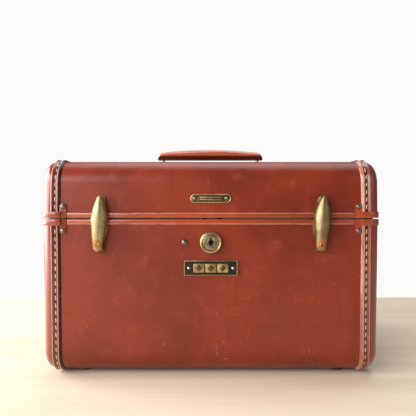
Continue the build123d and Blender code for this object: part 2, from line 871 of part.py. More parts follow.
# -------------------------------------------------------------------- the lid stay
# The arm's pivot on the lid and the stud that its slot runs on are equally far from
# the hinge axis, so the arm always turns by half the lid's angle.
pivot_angle = asin(stay_pivot_up / stay_radius)
stud_angle = asin(stay_stud_down / stay_radius)
pivot_point = (hinge_y - stay_radius * cos(pivot_angle), seam_height + stay_pivot_up)
stud_point = (hinge_y - stay_radius * cos(stud_angle), seam_height - stay_stud_down)
rest_gap = 2 * stay_radius * sin((pivot_angle + stud_angle) / 2)
open_gap = 2 * stay_radius * sin((pivot_angle + stud_angle + radians(stay_opening)) / 2)
arm_tilt = degrees(atan2(stud_point[1] - pivot_point[1], stud_point[0] - pivot_point[0]))
slot_end = stay_stud_radius + 0.4
arm_length = open_gap + slot_end + 3.0
slot_middle = (rest_gap + open_gap) / 2
slot_run = open_gap - rest_gap + 2 * slot_end

with BuildPart() as stay_arm:
    arm_direction = (0, cos(radians(arm_tilt)), sin(radians(arm_tilt)))
    with BuildSketch(Plane((stay_x, *pivot_point), x_dir=arm_direction, z_dir=(1, 0, 0))):
        with Locations((arm_length / 2, 0)):
            SlotOverall(arm_length + stay_arm_width, stay_arm_width)
        Circle(stay_stud_radius + running, mode=Mode.SUBTRACT)
        with Locations((slot_middle, 0)):
            SlotOverall(slot_run, 2 * (stay_stud_radius + stay_slot_gap), mode=Mode.SUBTRACT)
    extrude(amount=stay_thick)
keep(stay_arm.part, "stay_arm")


def wall_stud(point):
    """A headed stud from the right-hand end wall, through the stay arm."""
    wall = half_length - board - lean(point[1]) - lean(seam_height + stay_stud_radius + 1.6)
    with BuildPart() as stud:
        with BuildSketch(Plane.YZ.offset(stay_x - 0.4)):
            with Locations(point):
                Circle(stay_stud_radius)
        extrude(amount=wall - stay_x + 0.4)
        with BuildSketch(Plane.YZ.offset(stay_x - 0.4)):
            with Locations(point):
                Circle(stay_stud_radius + 1.6)
        extrude(amount=-1.2)
        with BuildSketch(Plane.YZ.offset(stay_x + stay_thick + 0.3)):
            with Locations(point):
                Circle(stay_stud_radius + 1.2)
        extrude(amount=wall - stay_x - stay_thick - 0.3)
    return stud.part


with BuildPart() as stay_stud:
    add(wall_stud(stud_point))
keep(stay_stud.part, "stay_stud")

with BuildPart() as stay_pivot:
    add(wall_stud(pivot_point))
keep(stay_pivot.part, "stay_pivot")

# -------------------------------------------------------------------- the interior
lining_gap = 0.3
lining_top = seam_height - lip_down - lining_gap
with BuildPart() as base_lining:
    add(base_hollow)
    add(base_room, mode=Mode.SUBTRACT)
    with Locations((0, mid_y, lining_top)):
        Box(far, far, far, align=(Align.CENTER, Align.CENTER, Align.MIN), mode=Mode.SUBTRACT)
    add(
        front_block(
            (case_x[0] - lining_gap, case_x[1] + lining_gap), (case_z[0] - lining_gap, seam_height), (-20, 0)
        ),
        mode=Mode.SUBTRACT,
    )
    with BuildSketch(Plane.YZ.offset(stay_x)):
        with Locations(stud_point):
            Circle(stay_stud_radius + 1.2 + lining_gap)
    extrude(amount=board + lining + 5, mode=Mode.SUBTRACT)
keep(base_lining.part, "base_lining")

with BuildPart() as lid_lining:
    add(lid_hollow)
    add(lid_room, mode=Mode.SUBTRACT)
    with Locations((0, mid_y, rim_top)):
        Box(far, far, far, align=(Align.CENTER, Align.CENTER, Align.MAX), mode=Mode.SUBTRACT)
    with BuildSketch(Plane.YZ.offset(stay_x)):
        with Locations(pivot_point):
            Circle(stay_stud_radius + 1.2 + lining_gap)
    extrude(amount=board + lining + 5, mode=Mode.SUBTRACT)
keep(lid_lining.part, "lid_lining")

lid_ceiling = panel_top - board - lining
with BuildPart() as mirror_frame:
    with BuildSketch(Plane.XY.offset(lid_ceiling)):
        with Locations((0, mid_y)):
            RectangleRounded(*(size + 2 * mirror_frame_width for size in mirror_size), 8)
            RectangleRounded(mirror_size[0], mirror_size[1], 3, mode=Mode.SUBTRACT)
    extrude(amount=-mirror_frame_thick)
keep(mirror_frame.part, "mirror_frame")

with BuildPart() as mirror_glass:
    with BuildSketch(Plane.XY.offset(lid_ceiling)):
        with Locations((0, mid_y)):
            RectangleRounded(mirror_size[0], mirror_size[1], 3)
    extrude(amount=-mirror_thick)
keep(mirror_glass.part, "mirror")

pocket_y = back - board - lining - pocket_size[1] / 2
pocket_z = pocket_bottom_z + pocket_size[2] / 2
with BuildPart() as back_pocket:
    with Locations((0, pocket_y, pocket_z)):
        Box(*pocket_size)
    with Locations((0, pocket_y, pocket_z + pocket_wall)):
        Box(
            pocket_size[0] - 2 * pocket_wall,
            pocket_size[1] - 2 * pocket_wall,
            pocket_size[2],
            mode=Mode.SUBTRACT,
        )
keep(back_pocket.part, "back_pocket")

# ------------------------------------------------------------------------ the tray
tray_middle = front + tray_front_gap + tray_size[1] / 2
with BuildPart() as tray:
    with BuildSketch(Plane.XY.offset(tray_bottom_z)):
        with Locations((0, tray_middle)):
            RectangleRounded(tray_size[0], tray_size[1], 4)
    extrude(amount=tray_size[2])
    with BuildSketch(Plane.XY.offset(tray_bottom_z + tray_wall)):
        with Locations((0, tray_middle)):
            RectangleRounded(tray_size[0] - 2 * tray_wall, tray_size[1] - 2 * tray_wall, 4 - tray_wall)
    extrude(amount=tray_size[2], mode=Mode.SUBTRACT)
keep(tray.part, "tray")

divider_height = tray_size[2] - tray_wall - 8
with BuildPart() as tray_dividers:
    with BuildSketch(Plane.XY.offset(tray_bottom_z + tray_wall)):
        for x in (-tray_size[0] / 6, tray_size[0] / 6):
            with Locations((x, tray_middle)):
                Rectangle(tray_wall, tray_size[1] - 2 * tray_wall)
    extrude(amount=divider_height)
keep(tray_dividers.part, "tray_dividers")

grip_size = (2.0, 46.0, 14.0)
with BuildPart() as tray_grips:
    for side in (-1, 1):
        grip_x = side * (tray_size[0] / 2 - tray_wall) - (grip_size[0] if side > 0 else 0)
        with BuildSketch(Plane.YZ.offset(grip_x)):
            with Locations((tray_middle, tray_bottom_z + tray_size[2])):
                RectangleRounded(grip_size[1], 2 * grip_size[2], 5)
                with Locations((0, -6)):
                    SlotOverall(28, 9, mode=Mode.SUBTRACT)
            with Locations((tray_middle, tray_bottom_z + tray_size[2] + 2)):
                Rectangle(far, far, align=(Align.CENTER, Align.MIN), mode=Mode.SUBTRACT)
        extrude(amount=grip_size[0])
keep(tray_grips.part, "tray_grips")

arm_room = (hinge_y - stay_radius - 45.0, hinge_y - stay_radius + 12.0)
with BuildPart() as tray_ledges:
    for side in (-1, 1):
        wall = half_length - board - lining - lean(tray_bottom_z - ledge_thick)
        for start, stop in ((front + 20.0, arm_room[0]), (arm_room[1], back - 30.0)):
            with Locations((side * (wall - ledge_reach / 2), (start + stop) / 2, tray_bottom_z)):
                Box(ledge_reach, stop - start, ledge_thick, align=(Align.CENTER, Align.CENTER, Align.MAX))
keep(tray_ledges.part, "tray_ledges")
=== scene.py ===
import json
import random
from math import atan2, cos, pi, radians, sin, sqrt, tan

import bmesh
import bpy
from mathutils import Matrix, Vector

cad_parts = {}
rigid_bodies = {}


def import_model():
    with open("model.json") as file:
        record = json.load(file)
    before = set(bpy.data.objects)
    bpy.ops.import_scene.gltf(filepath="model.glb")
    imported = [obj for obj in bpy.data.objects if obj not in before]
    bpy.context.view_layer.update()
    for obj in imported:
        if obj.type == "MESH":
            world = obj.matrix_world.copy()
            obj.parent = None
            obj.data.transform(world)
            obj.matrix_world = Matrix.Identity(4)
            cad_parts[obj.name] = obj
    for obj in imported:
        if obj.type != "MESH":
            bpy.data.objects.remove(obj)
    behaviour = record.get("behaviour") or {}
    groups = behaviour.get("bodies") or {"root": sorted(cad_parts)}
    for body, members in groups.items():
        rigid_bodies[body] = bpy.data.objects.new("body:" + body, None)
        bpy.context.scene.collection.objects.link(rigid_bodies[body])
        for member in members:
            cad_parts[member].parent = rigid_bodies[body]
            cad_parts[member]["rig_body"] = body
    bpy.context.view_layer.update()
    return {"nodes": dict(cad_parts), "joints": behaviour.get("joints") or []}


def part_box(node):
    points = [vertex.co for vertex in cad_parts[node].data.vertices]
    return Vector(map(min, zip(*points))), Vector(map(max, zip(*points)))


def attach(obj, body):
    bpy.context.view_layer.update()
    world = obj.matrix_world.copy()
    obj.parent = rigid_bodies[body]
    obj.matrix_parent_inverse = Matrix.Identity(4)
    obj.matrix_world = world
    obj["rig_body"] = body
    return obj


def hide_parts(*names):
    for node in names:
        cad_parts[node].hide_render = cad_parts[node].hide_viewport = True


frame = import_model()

MM = 0.001
random.seed(7)
nodes = frame["nodes"]
joints = {joint["name"]: joint for joint in frame["joints"]}


# ---- what the frame says
def corners(node):
    """A CAD node's lowest and highest corners."""
    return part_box(node)


wrap_low, wrap_high = corners("base_wrap")
rim_high = corners("base_rim")[1]
front, back = wrap_low.y, wrap_high.y
middle_y = (front + back) / 2
panel_bottom, panel_top = wrap_low.z, corners("lid_wrap")[1].z
base_edge, lid_edge = rim_high.z, corners("lid_rim")[0].z
seam = (base_edge + lid_edge) / 2
half_length = rim_high.x
side_radius = 22 * MM
end_draft = radians(0.7)
stitch_line = half_length - 14.05 * MM
rim_height = 4.55 * MM
under_grip = 4.2 * MM
grip_shade = corners("handle_grip")[0].z + under_grip


def lean(height):
    """How far the tapering ends have come in at a height."""
    return abs(height - seam) * tan(end_draft)


def leaned(x, height):
    """Where a place along the case moves to as the case narrows away from the seam."""
    return x * (1 - lean(height) / half_length)


# ---- camera
camera_data = bpy.data.cameras.new("camera")
camera_data.sensor_width = 36
camera_data.lens = 38.08
camera_data.clip_start = 0.01
eye_left, eye_back, eye_height = 2.7 * MM, 424 * MM, 163.5 * MM
camera = bpy.data.objects.new("camera", camera_data)
camera.location = (-eye_left, front - eye_back, eye_height)
camera.rotation_euler = (radians(90), 0, 0)
bpy.context.scene.collection.objects.link(camera)
bpy.context.scene.camera = camera


# ---- shader maths
class Wire:
    """An output in a material. Python's operators on it add Math nodes."""

    def __init__(self, paint, socket):
        self.paint = paint
        self.socket = socket

    def _math(self, operation, first, second=None):
        inputs = {"i0": first} if second is None else {"i0": first, "i1": second}
        return self.paint.node("Math", {"operation": operation}, **inputs)

    def __add__(self, other):
        return self._math("ADD", self, other)

    __radd__ = __add__

    def __mul__(self, other):
        return self._math("MULTIPLY", self, other)

    __rmul__ = __mul__

    def __sub__(self, other):
        return self._math("SUBTRACT", self, other)

    def __rsub__(self, other):
        return self._math("SUBTRACT", other, self)

    def fade(self, low, high):
        """0 below low and 1 above high, or the other way when low is above high."""
        settings = {"interpolation_type": "SMOOTHSTEP"}
        if low < high:
            return self.paint.node("MapRange", settings, Value=self, From_Min=low, From_Max=high)
        return 1 - self.fade(high, low)

    def sine(self):
        return self._math("SINE", self)

    def size(self):
        return self._math("ABSOLUTE", self)


class Paint:
    """A material being mixed: a Principled shader and the nodes that feed it."""

    def __init__(self, name, **sockets):
        self.material = bpy.data.materials.new(name)
        self.material.use_nodes = True
        self.tree = self.material.node_tree
        self.shader = self.tree.nodes["Principled BSDF"]
        self.relief = None
        self.set(**sockets)

    def feed(self, socket, value):
        """Links an output to a socket, or sets the socket's own value."""
        if isinstance(value, Wire):
            self.tree.links.new(value.socket, socket)
        elif isinstance(value, tuple) and len(value) == 3 and socket.type == "RGBA":
            socket.default_value = (*value, 1)
        else:
            socket.default_value = value

    def node(self, kind, settings=(), output=0, **inputs):
        """Adds a node: its settings first, then its inputs by name or, as i0, by place."""
        node = self.tree.nodes.new("ShaderNode" + kind)
        for key, value in dict(settings).items():
            setattr(node, key, value)
        for key, value in inputs.items():
            place = int(key[1:]) if key[0] == "i" and key[1:].isdigit() else key.replace("_", " ")
            self.feed(node.inputs[place], value)
        return Wire(self, node.outputs[output])

    def place(self, stretch=(1, 1, 1), turn=(0, 0, 0)):
        """The piece's own coordinates, in metres, turned and stretched."""
        here = self.node("TexCoord", output=3)
        if stretch == (1, 1, 1) and turn == (0, 0, 0):
            return here
        return self.node("Mapping", Vector=here, Rotation=turn, Scale=stretch)

    def axis(self, letter):
        """One of the piece's own coordinates, in metres."""
        return self.node("SeparateXYZ", output="XYZ".index(letter), Vector=self.place())

    def noise(self, size, detail=2.0, rough=0.5, stretch=(1, 1, 1), turn=(0, 0, 0), warp=0.0):
        """Cloudy noise whose patches are about a size across, in metres."""
        settings = {"Scale": 1 / size, "Detail": detail, "Roughness": rough, "Distortion": warp}
        return self.node("TexNoise", Vector=self.place(stretch, turn), **settings)

    def cells(self, size, feature="F1", turn=(0, 0, 0)):
        """Distances in a pattern of cells, each about a size across."""
        return self.node("TexVoronoi", {"feature": feature}, Vector=self.place(turn=turn), Scale=1 / size)

    def weave(self, size):
        """The over-and-under of a plain weave, from crossed waves."""
        across, along, depth = ((self.axis(letter) * (pi / size)).sine() for letter in "XZY")
        return across * along + across * depth + along * depth

    def mix(self, mask, first, second):
        """One colour over another where a mask is 1."""
        return self.node("Mix", {"data_type": "RGBA"}, output=2, i0=mask, i6=first, i7=second)

    def bump(self, height, distance, strength=1.0):
        """Raises the surface by a height, on top of any bumps there already."""
        inputs = {"Height": height, "Distance": distance, "Strength": strength}
        if self.relief is not None:
            inputs["Normal"] = self.relief
        self.relief = self.node("Bump", **inputs)
        self.feed(self.shader.inputs["Normal"], self.relief)

    def set(self, **sockets):
        for socket, value in sockets.items():
            self.feed(self.shader.inputs[socket.replace("_", " ")], value)
        return self.material


# ---- materials
def ridge_light_and_wear(paint, colour):
    """Pale crest lines, part painted highlight and part rubbed wear; painted shade in the channel and along
    the outer edge; an inner flank painted near black as shade on the left binding and pale as painted sheen
    on the right.
    """
    narrowing = 1 - (paint.axis("Z") - seam).size() * (tan(end_draft) / half_length)
    along = paint.axis("X").size() - narrowing * stitch_line
    breaks = paint.noise(5 * MM, 3, 0.6, (1, 1, 0.4)) * 0.5 + 0.62
    inner = (along + 2.2 * MM).size().fade(0.6 * MM, 0.15 * MM)
    outer = (along - 3.5 * MM).size().fade(0.55 * MM, 0.15 * MM)
    channel = along.size().fade(1.75 * MM, 1.3 * MM)
    flank = along.fade(-2.6 * MM, -3.1 * MM)
    edge = (along - 4.1 * MM).size().fade(0.35 * MM, 0.1 * MM)
    # Painted shade: the stitched channel is darkened.
    colour = paint.mix(channel * 0.6, colour, (0.085, 0.012, 0.006))
    # The inner flank's tone differs by side: painted shade on the left binding, painted sheen on the right
    # one, whose flank faces the light.
    flank_lit_side = paint.axis("X").fade(-0.02, 0.02)
    sheen_patches = paint.noise(11 * MM, 4, 0.65, (1, 1, 0.22)).fade(0.36, 0.62)
    flank_sheen_tone = paint.mix(sheen_patches, (0.26, 0.055, 0.030), (0.52, 0.22, 0.155))
    flank_shade_sheen_tone = paint.mix(flank_lit_side, (0.020, 0.0028, 0.0014), flank_sheen_tone)
    colour = paint.mix(flank * 0.88, colour, flank_shade_sheen_tone)
    # Pale crest lines on both ridges: painted highlight, with rubbed wear.
    colour = paint.mix((inner + outer) * breaks * 0.8, colour, (0.62, 0.30, 0.22))
    # Painted shade: a dark line along the binding's outer edge.
    colour = paint.mix(edge * 0.7, colour, (0.018, 0.003, 0.002))
    return colour, flank * (1 - flank_lit_side)


def rim_highlight_lines(paint, colour):
    """Painted highlight: pale lines along the rim leather's two outer edges, broken up in places."""
    height = paint.axis("Z")
    # Painted highlight along the rim's two outer edges.
    low_highlight_line = (height - (base_edge - rim_height)).size().fade(0.5 * MM, 0.15 * MM)
    high_highlight_line = (height - (lid_edge + rim_height)).size().fade(0.5 * MM, 0.15 * MM)
    breaks = paint.noise(14 * MM, 4, 0.6, (1, 1, 0.2)).fade(0.3, 0.62)
    return paint.mix((low_highlight_line + high_highlight_line) * (breaks * 0.75 + 0.2), colour, (0.66, 0.28, 0.17)), 0


def grip_underside_shade(paint, colour):
    """Painted shade on the handle's underside: darker and less glossy below a height."""
    # Painted shade: the grip is darkened below a height, on its underside.
    under = paint.axis("Z").fade(grip_shade + 1.2 * MM, grip_shade - 1.2 * MM)
    return paint.mix(under * 0.85, colour, (0.045, 0.005, 0.003)), under * 0.6


def aged_leather(name, deep, mid, light, rough=0.42, coat=0.2, wear=1.0, grain=0.5, marks=None):
    """Smooth, glazed hide: cloudy dye, a fine grain, rubbed patches and hair scratches.

    Marks are a function that adds a place's own marks, painted light and shade among them, and says where
    the gloss is gone.
    """
    paint = Paint(name, Specular_IOR_Level=0.3, Coat_Roughness=0.2)
    clouds = paint.noise(85 * MM, 4, 0.55, warp=0.6)
    patches = paint.noise(17 * MM, 5, 0.6, warp=0.4)
    speckle = paint.noise(3.2 * MM, 4, 0.65)
    colour = paint.mix(clouds.fade(0.36, 0.66), deep, mid)
    colour = paint.mix(patches.fade(0.5, 0.78) * 0.55, colour, light)
    colour = paint.mix(speckle.fade(0.56, 0.75) * 0.4, colour, deep)
    streaks = paint.noise(9 * MM, 3, 0.55, (1, 1, 0.12)).fade(0.5, 0.75)
    colour = paint.mix(streaks * 0.35, colour, deep)
    creases = paint.cells(26 * MM, "DISTANCE_TO_EDGE", turn=(0.4, 0.2, 0.7)).fade(0.03, 0.0)
    creases = creases * patches.fade(0.42, 0.62)
    colour = paint.mix(creases * 0.35, colour, deep)
    scuffs = paint.noise(1.6 * MM, 3, 0.7, (0.16, 0.4, 1.0), (0, 0.35, 0)).fade(0.66, 0.74)
    scratches = paint.noise(1.1 * MM, 2, 0.6, (1.0, 0.7, 0.06), (0, 0.7, 0.3)).fade(0.7, 0.76)
    low = paint.axis("Z").fade(0.11, 0.01)
    rubbed = (scuffs * 0.55 + scratches * 0.6) * paint.noise(42 * MM, 2).fade(0.45, 0.62)
    rubbed = rubbed * (low * 1.1 + 0.3) * wear
    colour = paint.mix(rubbed.fade(0.0, 0.55), colour, tuple(min(1, 1.6 * c + 0.13) for c in light))
    gloss = (1 - rubbed.fade(0, 0.6)) * coat
    if marks is not None:
        colour, dulled = marks(paint, colour)
        gloss = gloss * (1 - dulled)
    paint.bump(paint.cells(0.9 * MM), 0.05 * MM, grain)
    paint.bump(paint.noise(7 * MM, 4, 0.6), 0.35 * MM, 0.35)
    paint.bump(creases * -1.0, 0.12 * MM, 0.6)
    roughness = patches * 0.16 + speckle * 0.1 + rubbed * 0.2 + (rough - 0.13)
    return paint.set(Base_Color=colour, Roughness=roughness, Coat_Weight=gloss)


def aged_brass(name, bright, shade, patina, rough=0.3, spot=None):
    """Handled brass: bright where rubbed, brown in the hollows, with small pits."""
    paint = Paint(name)
    clouds = paint.noise(9 * MM, 4, 0.6, warp=0.5)
    mottle = paint.noise(2.4 * MM, 5, 0.65)
    pits = paint.noise(0.9 * MM, 3, 0.6).fade(0.63, 0.7)
    brushed = paint.noise(0.5 * MM, 2, 0.5, (1, 1, 0.08))
    colour = paint.mix(clouds.fade(0.35, 0.68), shade, bright)
    colour = paint.mix(mottle.fade(0.52, 0.72) * 0.6, colour, patina)
    colour = paint.mix(pits * 0.6, colour, patina)
    if spot is not None:
        centre, reach = spot
        away = paint.node("VectorMath", {"operation": "DISTANCE"}, output=1, i0=paint.place(), i1=centre)
        stain = away.fade(reach, 0.4 * reach) * (mottle * 0.8 + 0.5)
        colour = paint.mix(stain, colour, (0.42, 0.15, 0.04))
    paint.bump(mottle, 0.12 * MM, 0.5)
    paint.bump(brushed - pits, 0.04 * MM, 0.5)
    roughness = clouds * 0.12 + mottle * 0.22 + pits * 0.2 + (rough - 0.14)
    return paint.set(Base_Color=colour, Roughness=roughness, Metallic=1 - pits * 0.25)


def worn_steel(name, tone=(0.55, 0.54, 0.52), rough=0.3):
    """Nickelled steel with a faint brushing and grey tarnish."""
    paint = Paint(name, Metallic=1.0)
    tarnish = paint.noise(2.2 * MM, 4, 0.65)
    hairs = paint.noise(0.6 * MM, 2, 0.5, (1, 1, 0.05), (0.3, 0.5, 0))
    colour = paint.mix(tarnish.fade(0.45, 0.72), tone, tuple(0.34 * c for c in tone))
    paint.bump(hairs + tarnish, 0.05 * MM, 0.4)
    return paint.set(Base_Color=colour, Roughness=tarnish * 0.3 + (rough - 0.12))


def woven_cloth(name, tone, size=0.55 * MM):
    """Plain-woven lining cloth with slubs and a little age."""
    paint = Paint(name, Sheen_Weight=0.25, Sheen_Roughness=0.5, Specular_IOR_Level=0.25)
    threads = paint.weave(size)
    slub = paint.noise(1.2 * MM, 3, 0.6, (1, 1, 0.15)).fade(0.55, 0.75)
    age = paint.noise(60 * MM, 4, 0.6).fade(0.45, 0.75)
    colour = paint.mix(threads.fade(-0.8, 0.8), tuple(0.72 * c for c in tone), tone)
    colour = paint.mix(slub * 0.4, colour, tuple(min(1, 1.2 * c) for c in tone))
    colour = paint.mix(age * 0.3, colour, tuple(c * k for c, k in zip(tone, (0.8, 0.68, 0.52))))
    paint.bump(threads, 0.12 * MM, 0.5)
    paint.bump(paint.noise(14 * MM, 2), 0.6 * MM, 0.2)
    return paint.set(Base_Color=colour, Roughness=threads * 0.04 + 0.78)


def satin_cloth(name, tone):
    """Smooth gathered satin: soft sheen, very fine thread."""
    paint = Paint(name, Sheen_Weight=0.5, Sheen_Roughness=0.3, Specular_IOR_Level=0.5)
    thread = paint.noise(0.5 * MM, 2, 0.5, (1, 1, 0.04))
    shade = paint.noise(20 * MM, 3, 0.5)
    colour = paint.mix(shade.fade(0.35, 0.7), tuple(0.78 * c for c in tone), tone)
    paint.bump(thread, 0.05 * MM, 0.4)
    return paint.set(Base_Color=colour, Roughness=thread * 0.12 + 0.36)


def twisted_thread(name, tone):
    """Waxed linen thread with a twist and a little soil."""
    paint = Paint(name, Sheen_Weight=0.2, Specular_IOR_Level=0.3)
    ply = paint.node("TexWave", {"wave_type": "BANDS", "bands_direction": "DIAGONAL"}, Vector=paint.place(),
                     Scale=1 / (1.3 * MM), Distortion=1.5)
    soil = paint.noise(9 * MM, 3, 0.6)
    colour = paint.mix(ply.fade(0.1, 0.7), tuple(0.62 * c for c in tone), tone)
    colour = paint.mix(soil.fade(0.55, 0.8) * 0.6, colour, (0.34, 0.2, 0.13))
    paint.bump(ply, 0.08 * MM, 0.6)
    return paint.set(Base_Color=colour, Roughness=soil * 0.15 + 0.6)


def black_enamel(name):
    """Stoved black enamel, chipped through to a brown undercoat in places."""
    paint = Paint(name, Specular_IOR_Level=0.22)
    wear = paint.noise(1.6 * MM, 5, 0.7)
    chips = wear.fade(0.64, 0.7)
    colour = paint.mix(chips, (0.016, 0.010, 0.008), (0.14, 0.07, 0.04))
    paint.bump(wear, 0.06 * MM, 0.5)
    return paint.set(Base_Color=colour, Roughness=wear * 0.3 + 0.4, Coat_Weight=(1 - chips) * 0.1)


def silvered_glass(name):
    """Old mirror glass with a faint bloom."""
    paint = Paint(name, Metallic=1.0)
    bloom = paint.noise(24 * MM, 4, 0.6)
    colour = paint.mix(bloom.fade(0.55, 0.85) * 0.4, (0.9, 0.92, 0.92), (0.62, 0.6, 0.55))
    return paint.set(Base_Color=colour, Roughness=bloom.fade(0.5, 0.9) * 0.12 + 0.02)


def deep_shadow(name):
    """The unlit, dusty inside of a hole."""
    paint = Paint(name, Specular_IOR_Level=0.05)
    dust = paint.noise(0.8 * MM, 3, 0.6)
    colour = paint.mix(dust.fade(0.4, 0.8), (0.004, 0.003, 0.003), (0.016, 0.008, 0.006))
    return paint.set(Base_Color=colour, Roughness=dust * 0.1 + 0.85)


def pale_floor(name):
    """A pale, faintly grained table top."""
    paint = Paint(name)
    grain = paint.noise(30 * MM, 4, 0.6, (0.08, 1, 1))
    colour = paint.mix(grain.fade(0.35, 0.7), (0.86, 0.74, 0.59), (0.78, 0.64, 0.48))
    paint.bump(grain, 0.2 * MM, 0.3)
    return paint.set(Base_Color=colour, Roughness=grain * 0.1 + 0.5)


cover_leather = aged_leather(
    "cover_leather", (0.150, 0.015, 0.0045), (0.215, 0.023, 0.0065), (0.30, 0.046, 0.015)
)
# A glossier copy of the cover leather whose mid and light tones are a little lighter: that lightening is
# painted sheen for the rounded ends.
end_leather_sheen = aged_leather(
    "end_leather_sheen", (0.150, 0.015, 0.0045), (0.225, 0.026, 0.008), (0.32, 0.055, 0.022), 0.34, 1.0
)
# The rim leather carries painted highlight lines along its edges.
rim_leather = aged_leather(
    "rim_leather", (0.25, 0.034, 0.010), (0.35, 0.052, 0.015), (0.50, 0.12, 0.05), 0.3, 0.6, 0.5, 0.3,
    rim_highlight_lines
)
# The binding leather carries its ridges' painted shade, sheen and highlight.
binding_leather = aged_leather(
    "binding_leather", (0.11, 0.010, 0.004), (0.20, 0.022, 0.008), (0.34, 0.06, 0.026), 0.26, 1.0, 0.6, 0.4,
    ridge_light_and_wear
)
strap_leather = aged_leather(
    "strap_leather", (0.20, 0.024, 0.008), (0.32, 0.044, 0.013), (0.50, 0.12, 0.05), 0.3, 0.8, 0.6, 0.4
)
# The handle leather carries painted shade on its underside.
handle_leather = aged_leather(
    "handle_leather", (0.38, 0.075, 0.038), (0.50, 0.115, 0.060), (0.62, 0.20, 0.11), 0.22, 1.0, 0.4, 0.4,
    grip_underside_shade
)
lever_brass = aged_brass("lever_brass", (0.64, 0.51, 0.27), (0.40, 0.28, 0.12), (0.20, 0.13, 0.05), 0.32)
face_brass = aged_brass("face_brass", (0.42, 0.36, 0.26), (0.27, 0.22, 0.15), (0.08, 0.055, 0.035), 0.3)
hinge_brass = aged_brass("hinge_brass", (0.52, 0.39, 0.18), (0.42, 0.30, 0.13), (0.30, 0.20, 0.085), 0.34)
fitting_brass = aged_brass(
    "fitting_brass", (0.60, 0.45, 0.20), (0.33, 0.22, 0.09), (0.13, 0.08, 0.035), 0.36
)
badge_brass = aged_brass("badge_brass", (0.62, 0.47, 0.26), (0.40, 0.27, 0.13), (0.10, 0.05, 0.025), 0.36)
bead_brass = aged_brass("bead_brass", (0.46, 0.33, 0.18), (0.36, 0.25, 0.13), (0.25, 0.16, 0.08), 0.34)
badge_floor_brass = aged_brass(
    "badge_floor_brass", (0.16, 0.10, 0.055), (0.08, 0.045, 0.025), (0.03, 0.015, 0.01), 0.45
)
dark_brass = aged_brass("dark_brass", (0.22, 0.16, 0.08), (0.09, 0.06, 0.03), (0.03, 0.02, 0.012), 0.36)
steel = worn_steel("worn_steel")
rivet_steel = worn_steel("rivet_steel", (0.21, 0.18, 0.16), 0.34)
dark_steel = worn_steel("dark_steel", (0.30, 0.28, 0.26), 0.4)
lining_cloth = woven_cloth("lining_cloth", (0.56, 0.41, 0.29))
tray_cloth = woven_cloth("tray_cloth", (0.52, 0.36, 0.25), 0.6 * MM)
pocket_satin = satin_cloth("pocket_satin", (0.60, 0.42, 0.30))
thread = twisted_thread("cream_thread", (0.72, 0.58, 0.43))
enamel = black_enamel("black_enamel")
mirror_glass = silvered_glass("mirror_glass")
hollow_black = deep_shadow("hollow_shadow")


def dress(piece, material):
    """Gives a piece one material."""
    piece.data.materials.clear()
    piece.data.materials.append(material)
    for polygon in piece.data.polygons:
        polygon.material_index = 0


def dress_node(node, material):
    """Gives a CAD node one material, on its object's own slots."""
    keeper = nodes[node]
    for slot in keeper.material_slots:
        slot.link = "OBJECT"
        slot.material = material


# ---- modelling tools
facing = (pi / 2, 0, 0)


def nothing_selected():
    """Leaves edit mode with nothing selected."""
    if bpy.context.object is not None and bpy.context.object.mode != "OBJECT":
        bpy.ops.object.mode_set(mode="OBJECT")
    bpy.ops.object.select_all(action="DESELECT")


def take(piece):
    """Selects one piece and makes it active."""
    nothing_selected()
    piece.select_set(True)
    bpy.context.view_layer.objects.active = piece


def settle(piece, name):
    """Names a piece and puts its place into its mesh."""
    nothing_selected()
    take(piece)
    bpy.ops.object.transform_apply(location=True, rotation=True, scale=True)
    piece.name = name
    piece.data.name = name
    return piece


def fresh():
    """The piece just added, with its place and turn put into its mesh."""
    piece = bpy.context.object
    take(piece)
    bpy.ops.object.transform_apply(location=True, rotation=True, scale=True)
    return piece


def edit(piece):
    """Opens a piece in edit mode with all of it selected."""
    take(piece)
    bpy.ops.object.mode_set(mode="EDIT")
    bpy.ops.mesh.select_all(action="SELECT")


def close():
    """Leaves edit mode."""
    bpy.ops.object.mode_set(mode="OBJECT")


def extrude(move):
    """In edit mode, draws the selection out by a move."""
    bpy.ops.mesh.extrude_region_move(TRANSFORM_OT_translate={"value": move})


def step_in(width, inward=0.0):
    """In edit mode, insets the selected face and moves it along Y, in millimetres."""
    bpy.ops.mesh.inset(thickness=width * MM)
    if inward:
        bpy.ops.transform.translate(value=(0, inward * MM, 0))


def face_outwards(merge=None):
    """In edit mode, merges doubles if a distance is given, then turns all faces outwards."""
    bpy.ops.mesh.select_all(action="SELECT")
    if merge:
        bpy.ops.mesh.remove_doubles(threshold=merge)
    bpy.ops.mesh.normals_make_consistent(inside=False)


def modify(piece, kind, **settings):
    """Adds a modifier and applies it."""
    take(piece)
    modifier = piece.modifiers.new(kind.lower(), kind)
    for key, value in settings.items():
        setattr(modifier, key, value)
    bpy.ops.object.modifier_apply(modifier=modifier.name)
    return piece


def bevelled(piece, width, segments, angle):
    """Rounds a piece's corners that are sharper than an angle."""
    modify(piece, "BEVEL", width=width, segments=segments, limit_method="ANGLE", angle_limit=radians(angle))


def smooth(piece, angle=40):
    """Shades a piece smooth except at its sharp corners."""
    take(piece)
    bpy.ops.object.shade_smooth_by_angle(angle=radians(angle))
    return piece


def finish(piece, name, body, material, slot, *replaced):
    """Names, dresses and hangs a piece on its body, in place of CAD nodes."""
    settle(piece, name)
    dress(piece, material)
    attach(piece, body)
    if replaced:
        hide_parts(*replaced)
    return piece


def select_where(piece, kind, test):
    """In edit mode, selects the vertices, edges or faces whose place passes a test."""
    bpy.ops.mesh.select_mode(type=kind)
    bpy.ops.mesh.select_all(action="DESELECT")
    mesh = bmesh.from_edit_mesh(piece.data)
    for item in {"VERT": mesh.verts, "EDGE": mesh.edges, "FACE": mesh.faces}[kind]:
        item.select = bool(test(item))
    mesh.select_flush_mode()
    bmesh.update_edit_mesh(piece.data)


def face_middle(face):
    return face.calc_center_median()


